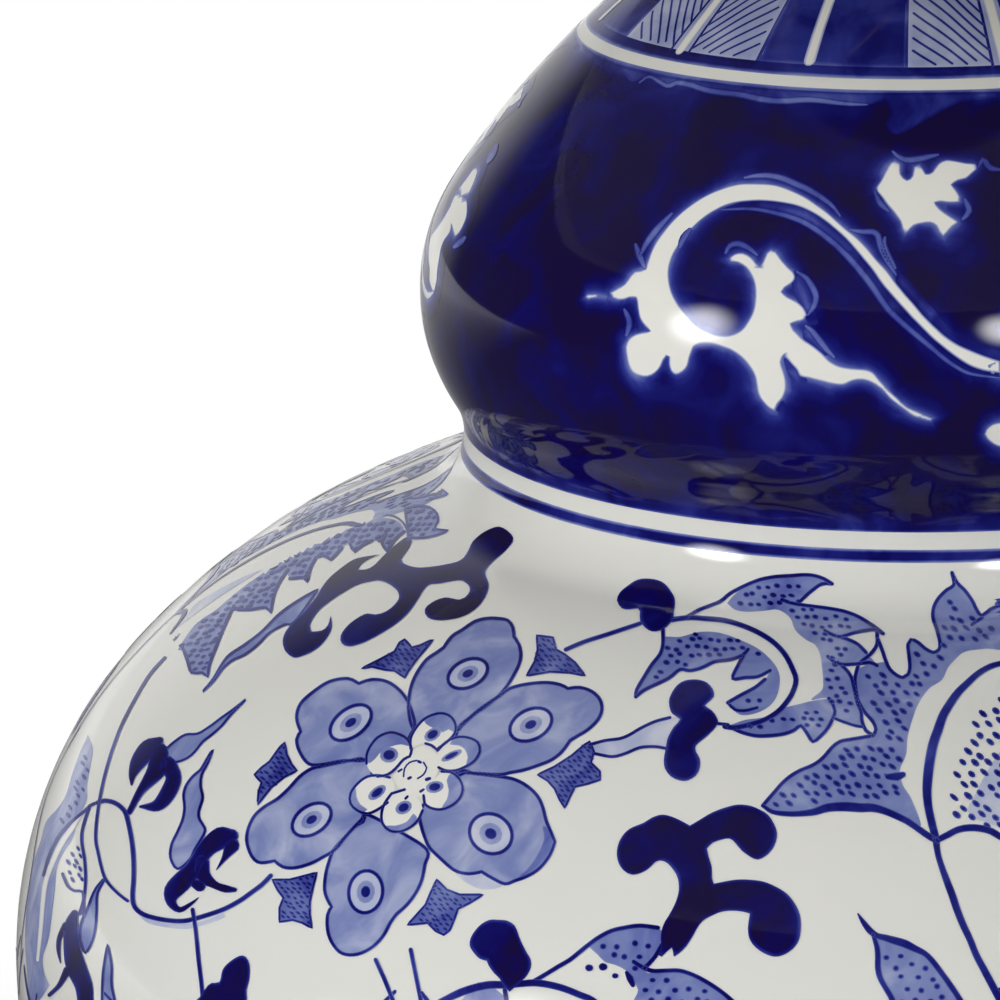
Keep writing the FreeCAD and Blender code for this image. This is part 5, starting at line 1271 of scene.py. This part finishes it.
for k in range(leaf_pairs):
    light, dark = light_turn + 360 / leaf_pairs * k, dark_turn + 360 / leaf_pairs * k
    for middle, half, tip, tone, lift in (
            (dark, dark_half, leaf_tip - 8, 0.80, wash_lift + 0.01),
            (light, light_half, leaf_tip, 0.76, over_lift),
            (light, light_half - 0.7, leaf_tip - 2, 0.24, shade_lift)):
        outline = charted(curve_through(neck_leaf(middle, half, leaf_foot, tip), True, 1.2))
        fill("neck", outline, lift, tone, 0.85 * tone, soft=0.4)
    stem_at([(light, leaf_foot, 0.75), (light, leaf_tip - 8, 0.3)], bare, faint, 0.2)
    stem_at([(dark - 3.8, leaf_foot + 0.4, 0.8), (dark - 3.9, 273.3, 0.75),
             (dark - 3.2, 290, 0.5), (dark - 0.5, leaf_tip - 14, 0.3)], bare, 0.4, 0.3)
    for way in (-1, 1):
        stem_at([(light + 2.2 * way, leaf_foot, 0.22), (light + 2.0 * way, leaf_tip - 10, 0.15)],
                drawn, 0.6, 0.1)
        veins(light, way)
ring_band("bands", mouth_line)
ring_band("bands", mouth_band)

# Cobalt under glaze: one paint for every stroke. The strokes' own cobalt sets the tone,
# and the brush's streaks and the places where wet paint pooled vary it.


def reckon(tree, operation, *values):
    """Result of a math node that works on values and other nodes' outputs."""
    node = tree.nodes.new("ShaderNodeMath")
    node.operation = operation
    for socket, value in zip(node.inputs, values):
        feed(tree, socket, value)
    return node.outputs["Value"]


paint, tree, shader = finish_of("cobalt_under_glaze", (0.02, 0.02, 0.2), 0.06, specular=0.32)
amount = add_node(tree, "ShaderNodeAttribute", attribute_name="cobalt").outputs["Fac"]
where = add_node(tree, "ShaderNodeTexCoord").outputs["Object"]
streaks = add_node(tree, "ShaderNodeTexNoise", vector=where, scale=130.0, detail=5.0,
                   distortion=0.8)
pools = add_node(tree, "ShaderNodeTexNoise", vector=where, scale=30.0, detail=2.0)
pooling = add_node(tree, "ShaderNodeMapRange", value=pools.outputs["Fac"], from_min=0.35,
                   from_max=0.65, to_min=0.95, to_max=1.05)
drift = reckon(tree, "SUBTRACT", streaks.outputs["Fac"], 0.5)
swing = reckon(tree, "MULTIPLY", amount, reckon(tree, "SUBTRACT", 1.15, amount))
streaked = reckon(tree, "MULTIPLY_ADD", reckon(tree, "MULTIPLY", swing, drift), 2.2, amount)
toned(tree, shader, reckon(tree, "MULTIPLY", streaked, pooling.outputs["Result"]), [
    (0.0, (0.74, 0.73, 0.68)), (0.16, (0.44, 0.47, 0.62)), (0.36, (0.20, 0.24, 0.46)),
    (0.56, (0.085, 0.110, 0.36)), (0.70, (0.024, 0.032, 0.24)), (0.84, (0.007, 0.008, 0.14)),
    (0.93, (0.004, 0.002, 0.085)), (1.0, (0.007, 0.003, 0.040))])
fine_grain(tree, shader, *glaze_ripple)

repeat = bpy.data.node_groups.new("turned_copies", "GeometryNodeTree")
for name, way, kind in (("Geometry", "INPUT", "Geometry"), ("Copies", "INPUT", "Int"),
                        ("Paint", "INPUT", "Material"), ("Geometry", "OUTPUT", "Geometry")):
    repeat.interface.new_socket(name, in_out=way, socket_type="NodeSocket" + kind)
given = add_node(repeat, "NodeGroupInput").outputs
places = add_node(repeat, "GeometryNodePoints", count=given["Copies"])
index = add_node(repeat, "GeometryNodeInputIndex").outputs["Index"]
turn = reckon(repeat, "MULTIPLY", reckon(repeat, "DIVIDE", index, given["Copies"]), math.tau)
angle = add_node(repeat, "ShaderNodeCombineXYZ", z=turn)
instances = add_node(repeat, "GeometryNodeInstanceOnPoints", points=places.outputs["Points"],
                     instance=given["Geometry"], rotation=angle.outputs["Vector"])
realize = add_node(repeat, "GeometryNodeRealizeInstances",
                   geometry=instances.outputs["Instances"])
finish = add_node(repeat, "GeometryNodeSetMaterial", geometry=realize.outputs["Geometry"],
                  material=given["Paint"])
add_node(repeat, "NodeGroupOutput", geometry=finish.outputs["Geometry"])
socket_keys = {socket.name: socket.identifier for socket in repeat.interface.items_tree
               if socket.in_out == "INPUT"}


def painted_coat(name, parts, copies):
    """One mesh of a coat's strokes, repeated round the axis, with the body's own normals."""
    spots = np.concatenate([part[0] for part in parts])
    starts = np.cumsum([0] + [len(part[0]) for part in parts])
    faces = [[start + i for i in face] for (_, part), start in zip(parts, starts)
             for face in part]
    turn, up, lift, cobalt = spots.T
    radius = np.interp(up, climb, side[:, 0]) + lift * np.interp(up, climb, slope[:, 1])
    height = np.interp(up, climb, side[:, 1]) - lift * np.interp(up, climb, slope[:, 0])
    verts = np.stack([radius * np.sin(turn), -radius * np.cos(turn), height], axis=1)
    piece = new_piece(name, verts.tolist(), faces)
    piece.data.attributes.new("cobalt", "FLOAT", "POINT").data.foreach_set("value", cobalt)
    modifier = piece.modifiers.new("turned_copies", "NODES")
    modifier.node_group = repeat
    modifier[socket_keys["Copies"]] = copies
    modifier[socket_keys["Paint"]] = paint
    depsgraph = bpy.context.evaluated_depsgraph_get()
    whole_mesh = bpy.data.meshes.new_from_object(piece.evaluated_get(depsgraph))
    piece.modifiers.clear()
    piece.data = whole_mesh
    places = np.empty(3 * len(whole_mesh.vertices))
    whole_mesh.vertices.foreach_get("co", places)
    places = places.reshape(-1, 3)
    up = np.interp(places[:, 2], side[:, 1], climb)
    away = places[:, :2] / np.hypot(places[:, 0], places[:, 1])[:, None]
    normals = np.column_stack([away * np.interp(up, climb, slope[:, 1])[:, None],
                               -np.interp(up, climb, slope[:, 0])])
    whole_mesh.shade_smooth()
    whole_mesh.normals_split_custom_set_from_vertices(normals.tolist())
    whole_mesh.name = name
    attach(piece, "lamp_body")


usual_copies = 4
fewer_copies = {"neck": 1, "neck_lines": 1, "lining_dabs": 2}
for coat, parts in coats.items():
    painted_coat("painted_" + coat, parts, fewer_copies.get(coat, usual_copies))

# Base: a turned hardwood foot stained near black, with a felt pad glued under it and a
# bushing at the back for a cord. A steel nut and washer under it hold the threaded rod.


def dress(material, *nodes):
    """Gives CAD pieces their finish."""
    for node in nodes:
        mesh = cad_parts[node].data
        mesh.materials.clear()
        mesh.materials.append(material)


def worn_gloss(tree, shader, low, high, scale, stretch=(1, 1, 1)):
    """Roughness that drifts between two values, as handling and polish leave it."""
    spread = add_node(tree, "ShaderNodeMapRange", to_min=low, to_max=high,
                      value=noise_on(tree, scale, stretch=stretch))
    tree.links.new(spread.outputs["Result"], shader.inputs["Roughness"])


wood, tree, shader = finish_of("dark_wood", (0.1, 0.04, 0.02), 0.28)
where = add_node(tree, "ShaderNodeTexCoord").outputs["Object"]
heart_side = add_node(tree, "ShaderNodeMapping", vector=where, location=(0, 0.05, 0.16),
                      scale=(0.12, 1, 1))
rings = add_node(tree, "ShaderNodeTexWave", vector=heart_side.outputs["Vector"],
                 wave_type="RINGS", rings_direction="X", scale=22.0, distortion=4.0,
                 detail=3.0, detail_scale=1.6)
pores = noise_on(tree, 1.0, stretch=(30, 900, 900))
grain = reckon(tree, "MULTIPLY_ADD", rings.outputs["Fac"], 0.55, pores)
toned(tree, shader, grain, [(0.30, (0.012, 0.006, 0.004)), (1.0, (0.072, 0.031, 0.017))])
shader.inputs["Coat Weight"].default_value = 0.6
shader.inputs["Coat Roughness"].default_value = 0.12
relief(tree, shader, pores, 0.00008)
dress(wood, "wooden_base")

felt, tree, shader = finish_of("felt", (0.08, 0.16, 0.11), 0.95, specular=0.1)
mottle(tree, shader, (0.10, 0.19, 0.13), (0.05, 0.11, 0.075), 260.0)
shader.inputs["Sheen Weight"].default_value = 0.5
fine_grain(tree, shader, 900.0, 0.0004)
dress(felt, "felt_pad")

bushing, tree, shader = finish_of("bushing_plastic", (0.025, 0.022, 0.02), 0.42)
mottle(tree, shader, (0.03, 0.027, 0.024), (0.018, 0.016, 0.015), 120.0)
fine_grain(tree, shader, 700.0, 0.00005)
dress(bushing, "cord_bushing")

zinc, tree, shader = finish_of("zinc_steel", (0.62, 0.63, 0.64), 0.3, 1.0)
mottle(tree, shader, (0.66, 0.67, 0.68), (0.50, 0.52, 0.54), 160.0)
worn_gloss(tree, shader, 0.22, 0.45, 90.0)
dress(zinc, "bottom_nut", "lock_washer")

# Threaded rod: hollow steel pipe with a rolled thread over its whole length. The nuts on
# it pull the lamp's pieces together, and the wires would run up its bore.


def rolled_thread(tree, shader, pitch, depth):
    """Thread ridges as bump along the lamp's axis."""
    where = add_node(tree, "ShaderNodeTexCoord")
    waves = add_node(tree, "ShaderNodeTexWave", vector=where.outputs["Object"],
                     bands_direction="Z", scale=math.tau / (20 * pitch))
    relief(tree, shader, waves.outputs["Fac"], depth)


thread_steel, tree, shader = finish_of("threaded_steel", (0.60, 0.61, 0.60), 0.32, 1.0)
mottle(tree, shader, (0.62, 0.62, 0.60), (0.45, 0.46, 0.46), 200.0)
rolled_thread(tree, shader, 0.94 * MM, 0.0005)
dress(thread_steel, "threaded_rod")

# Gaskets: thin rings cut from black rubber, which lie loose between the hard pieces and
# keep the porcelain off the wood and off the brass.

rubber, tree, shader = finish_of("gasket_rubber", (0.03, 0.03, 0.03), 0.7)
mottle(tree, shader, (0.04, 0.04, 0.04), (0.02, 0.02, 0.02), 300.0)
fine_grain(tree, shader, 1200.0, 0.0001)
dress(rubber, "foot_gasket", "mouth_gasket")

# Brass fittings: turned cap on the mouth, spacer tube, lock ring and harp saddle, all
# polished and lacquered, with faint turning marks round the lamp's axis.

brass, tree, shader = finish_of("lamp_brass", (0.80, 0.58, 0.27), 0.2, 1.0)
mottle(tree, shader, (0.82, 0.61, 0.29), (0.74, 0.51, 0.21), 30.0)
worn_gloss(tree, shader, 0.12, 0.26, 60.0, (1, 1, 6))
dress(brass, "vase_cap", "neck_spacer", "check_ring", "harp_saddle", "socket_cap",
      "socket_shell", "switch_shaft", "harp", "harp_stud", "harp_ferrule_right",
      "harp_ferrule_left", "shade_spider", "finial_base", "finial_ball")

# Lampholder: brass cap and shell round a moulded interior, a card sleeve and the drawn
# screw shell, with two binding screws, the centre contact and the rotary switch's knob.

screw_brass, tree, shader = finish_of("terminal_brass", (0.75, 0.55, 0.25), 0.3, 1.0)
mottle(tree, shader, (0.78, 0.58, 0.27), (0.62, 0.43, 0.17), 400.0)
dress(screw_brass, "terminal_screw_right", "centre_contact", "cap_set_screw")
nickel, tree, shader = finish_of("nickel_steel", (0.66, 0.63, 0.58), 0.25, 1.0)
mottle(tree, shader, (0.70, 0.67, 0.62), (0.56, 0.54, 0.50), 400.0)
dress(nickel, "terminal_screw_left")
phenolic, tree, shader = finish_of("phenolic", (0.03, 0.018, 0.013), 0.35)
mottle(tree, shader, (0.040, 0.024, 0.017), (0.018, 0.011, 0.009), 350.0)
dress(phenolic, "socket_interior")
shell_metal, tree, shader = finish_of("screw_shell_metal", (0.78, 0.76, 0.70), 0.28, 1.0)
mottle(tree, shader, (0.80, 0.78, 0.72), (0.68, 0.66, 0.60), 150.0)
rolled_thread(tree, shader, 3.6 * MM, 0.0011)
dress(shell_metal, "screw_shell")
card, tree, shader = finish_of("kraft_card", (0.42, 0.29, 0.17), 0.85)
mottle(tree, shader, (0.45, 0.32, 0.19), (0.34, 0.23, 0.13), 220.0, 6.0, (1, 1, 0.3))
fine_grain(tree, shader, 900.0, 0.0002)
dress(card, "insulating_sleeve")
knob, tree, shader = finish_of("knob_plastic", (0.028, 0.022, 0.018), 0.25)
mottle(tree, shader, (0.034, 0.027, 0.022), (0.020, 0.016, 0.014), 90.0)
worn_gloss(tree, shader, 0.2, 0.36, 300.0)
dress(knob, "switch_knob")

# Shade: linen laminated on a clear-white plastic liner, rolled to a tapered drum on two
# wire rings, with a folded cloth tape over each edge and a lapped seam at the back.

ring_white, tree, shader = finish_of("white_wire", (0.78, 0.77, 0.74), 0.4)
mottle(tree, shader, (0.80, 0.79, 0.76), (0.70, 0.69, 0.66), 80.0)
fine_grain(tree, shader, 500.0, 0.00008)
dress(ring_white, "shade_bottom_ring")
# The liner's colour is set darker than its white plastic: painted shade for the dim inside of the
# shade, as the glaze mirrors it.
liner, tree, shader = finish_of("liner_plastic", (0.66, 0.63, 0.56), 0.45)
mottle(tree, shader, (0.68, 0.65, 0.58), (0.62, 0.59, 0.52), 20.0)
fine_grain(tree, shader, 600.0, 0.00005)
dress(liner, "shade_liner")

# Shade cloth: one piece of linen, cut as a ring's sector so that it rolls into the tapered
# drum, its threads square at the front and slanting at the back, where its ends lap.

shade_low, shade_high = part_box("shade_fabric")
low_radius, high_radius = shade_high.x, 165 * MM
slant = math.hypot(low_radius - high_radius, shade_high.z - shade_low.z)
apex = slant * low_radius / (low_radius - high_radius)
unroll = low_radius / apex
lap, cloth_wall, columns, rows = math.radians(3.4), 0.45 * MM, 256, 14
lap_over, lap_under = 0.2 * MM, 0.3 * MM
verts, threads = [], []
for i in range(rows + 1):
    part = i / rows
    for k in range(columns + 1):
        turn = (k / columns) * (math.tau + lap)
        over = min(1, max(0, (turn - math.tau + 2 * lap) / lap))
        under = max(0, 1 - turn / lap)
        radius = (low_radius + (high_radius - low_radius) * part
                  - cloth_wall / 2 + lap_over * over - lap_under * min(1, 2 * under))
        height = shade_low.z + (shade_high.z - shade_low.z) * part
        verts.append((-radius * math.sin(turn), radius * math.cos(turn), height))
        flat_turn, reach = (turn - math.pi) * unroll, apex - slant * part
        threads.append((reach * math.sin(flat_turn), -reach * math.cos(flat_turn)))
row = columns + 1
faces = [(row * i + k, row * i + k + 1, row * (i + 1) + k + 1, row * (i + 1) + k)
         for i in range(rows) for k in range(columns)]
cloth = new_piece("shade_linen", verts, faces)
woven = cloth.data.uv_layers.new(name="threads")
for loop, place in zip(cloth.data.loops, woven.data):
    place.uv = threads[loop.vertex_index]
wall_of_cloth = cloth.modifiers.new("cloth_wall", "SOLIDIFY")
wall_of_cloth.thickness, wall_of_cloth.offset = cloth_wall, 0
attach(cloth, "shade")
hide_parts("shade_fabric")

linen, tree, shader = finish_of("shade_cloth", (0.80, 0.77, 0.69), 0.9, specular=0.15)
shader.inputs["Sheen Weight"].default_value = 0.25
along = add_node(tree, "ShaderNodeUVMap", uv_map="threads").outputs["UV"]
thread_gap = 0.9 * MM
slubs, weave = [], []
for stretch, direction in (((9, 520, 1), "Y"), ((520, 9, 1), "X")):
    place = add_node(tree, "ShaderNodeMapping", vector=along, scale=stretch)
    slub = add_node(tree, "ShaderNodeTexNoise", vector=place.outputs["Vector"], scale=1.0,
                    detail=3.0)
    thread = add_node(tree, "ShaderNodeTexWave", vector=along, bands_direction=direction,
                      scale=math.tau / (20 * thread_gap), distortion=0.6)
    slubs.append(slub.outputs["Fac"])
    weave.append(thread.outputs["Fac"])
mixed_slubs = reckon(tree, "ADD", *slubs)
tones = add_node(tree, "ShaderNodeMapRange", value=mixed_slubs, from_min=0.75, from_max=1.25)
colours = add_node(tree, "ShaderNodeMix", data_type="RGBA", factor=tones.outputs["Result"])
colours.inputs["A"].default_value = (0.70, 0.67, 0.585, 1)
colours.inputs["B"].default_value = (0.84, 0.815, 0.74, 1)
tree.links.new(colours.outputs["Result"], shader.inputs["Base Color"])
crossed = reckon(tree, "MULTIPLY_ADD", *weave, mixed_slubs)
relief(tree, shader, crossed, 0.0003, 0.8)
cloth.data.materials.append(linen)

# Trim: a cloth tape folded and glued over each edge of the shade, which hides the linen's
# cut edge and holds it to the wire ring.

tape, tree, shader = finish_of("trim_tape", (0.77, 0.74, 0.66), 0.85, specular=0.2)
mottle(tree, shader, (0.80, 0.77, 0.69), (0.72, 0.69, 0.61), 40.0, 8.0, (1, 1, 12))
fine_grain(tree, shader, 1600.0, 0.00012, (1, 1, 0.5))
dress(tape, "shade_top_trim", "shade_bottom_trim")

# Floor and light: a plain pale floor under two soft boxes that the glaze mirrors, three
# broad fills and a top light. Away from the lamp the floor and the world show white
# straight at the camera, as the photograph's ground does, and from below the floor is clear.

floor_half, floor_z = 6.0, -0.0002
corners = [(-floor_half, -floor_half, floor_z), (floor_half, -floor_half, floor_z),
           (floor_half, floor_half, floor_z), (-floor_half, floor_half, floor_z)]
floor = new_piece("floor", corners, [(0, 1, 2, 3)])
floor_paint, tree, shader = finish_of("floor_paint", (0.80, 0.80, 0.80), 0.9, specular=0.1)
mottle(tree, shader, (0.81, 0.81, 0.81), (0.79, 0.79, 0.79), 3.0)


def blended(tree, amount, first, second):
    """Mix of two nodes' shaders."""
    mix = add_node(tree, "ShaderNodeMixShader", fac=amount)
    tree.links.new(first.outputs[0], mix.inputs[1])
    tree.links.new(second.outputs[0], mix.inputs[2])
    return mix


def backdrop_light(tree, way, smooth, start, end, low, high):
    """Light of the studio's sweep, that grows from low to high along the Y axis."""
    parts = add_node(tree, "ShaderNodeSeparateXYZ", vector=way)
    return add_node(tree, "ShaderNodeMapRange", interpolation_type=smooth, from_min=start,
                    from_max=end, to_min=low, to_max=high,
                    value=parts.outputs["Y"]).outputs["Result"]


where = add_node(tree, "ShaderNodeNewGeometry").outputs
from_lamp = add_node(tree, "ShaderNodeVectorMath", operation="LENGTH",
                     vector=where["Position"])
fade = add_node(tree, "ShaderNodeMapRange", interpolation_type="SMOOTHSTEP", from_min=0.17,
                from_max=0.42, value=from_lamp.outputs["Value"])
path = add_node(tree, "ShaderNodeLightPath").outputs
straight = reckon(tree, "MULTIPLY", fade.outputs["Result"], path["Is Camera Ray"])
sweep = add_node(tree, "ShaderNodeEmission",
                 strength=backdrop_light(tree, where["Position"], "LINEAR", 0.3, 1.6, 0.08, 0.9))
mirrored = blended(tree, path["Is Glossy Ray"], shader, sweep)
seen_white = blended(tree, straight, mirrored, add_node(tree, "ShaderNodeEmission"))
from_below = blended(tree, where["Backfacing"], seen_white,
                     add_node(tree, "ShaderNodeBsdfTransparent"))
tree.links.new(from_below.outputs["Shader"], tree.nodes["Material Output"].inputs["Surface"])
floor.data.materials.append(floor_paint)
floor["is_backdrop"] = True

world = bpy.data.worlds.new("studio")
world.use_nodes = True
bpy.context.scene.world = world
tree = world.node_tree
surround = tree.nodes["Background"]
surround.inputs["Color"].default_value = (0.93, 0.96, 1.0, 1)
surround.inputs["Strength"].default_value = 0.30
backdrop = add_node(tree, "ShaderNodeBackground", color=(1, 1, 1, 1), strength=1.0)
way = add_node(tree, "ShaderNodeTexCoord").outputs["Generated"]
path = add_node(tree, "ShaderNodeLightPath").outputs
studio = add_node(tree, "ShaderNodeBackground",
                  strength=backdrop_light(tree, way, "SMOOTHSTEP", 0.66, 0.92, 0.07, 0.95))
mirrored = blended(tree, path["Is Glossy Ray"], surround, studio)
seen = blended(tree, path["Is Camera Ray"], mirrored, backdrop)
tree.links.new(seen.outputs["Shader"], tree.nodes["World Output"].inputs["Surface"])


def soften(data):
    """Makes a light's panel brightest at its middle, as cloth over a lamp does."""
    data.use_nodes = True
    tree = data.node_tree
    panel = add_node(tree, "ShaderNodeNewGeometry")
    from_middle = add_node(tree, "ShaderNodeVectorMath", operation="DISTANCE",
                           vector=panel.outputs["Parametric"])
    from_middle.inputs[1].default_value = (0.5, 0.5, 0)
    fall = add_node(tree, "ShaderNodeMapRange", interpolation_type="SMOOTHSTEP", from_min=0.5,
                    from_max=0.12, to_max=3.0, value=from_middle.outputs["Value"])
    tree.links.new(fall.outputs["Result"], tree.nodes["Emission"].inputs["Strength"])


def soft_box(name, place, target, width, height, power, mirrored=True):
    """Rectangular studio light facing a point of the lamp; a broad one isn't mirrored."""
    data = bpy.data.lights.new(name, "AREA")
    data.shape = "RECTANGLE"
    data.size, data.size_y, data.energy = width, height, power
    light = bpy.data.objects.new(name, data)
    bpy.context.collection.objects.link(light)
    light.location = place
    light.visible_glossy = mirrored
    if mirrored:
        soften(data)
    light.rotation_euler = (Vector(target) - Vector(place)).to_track_quat("-Z", "Y").to_euler()


high_target, low_target = (0, 0, 0.3), (0, 0, 0.22)
soft_box("key_light", (-1.44, -1.16, 0.875), low_target, 0.66, 0.9, 14)
soft_box("second_light", (0.60, -1.66, 1.02), low_target, 0.5, 0.7, 8)
soft_box("left_fill", (-2.0, -1.6, 1.2), high_target, 1.4, 1.6, 11, mirrored=False)
soft_box("right_fill", (1.9, -1.5, 1.3), high_target, 1.4, 1.6, 5, mirrored=False)
soft_box("back_fill", (-0.9, 2.0, 1.4), high_target, 1.4, 1.6, 12, mirrored=False)
soft_box("top_light", (0, 0.3, 2.4), high_target, 1.6, 1.6, 4, mirrored=False)

low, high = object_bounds()
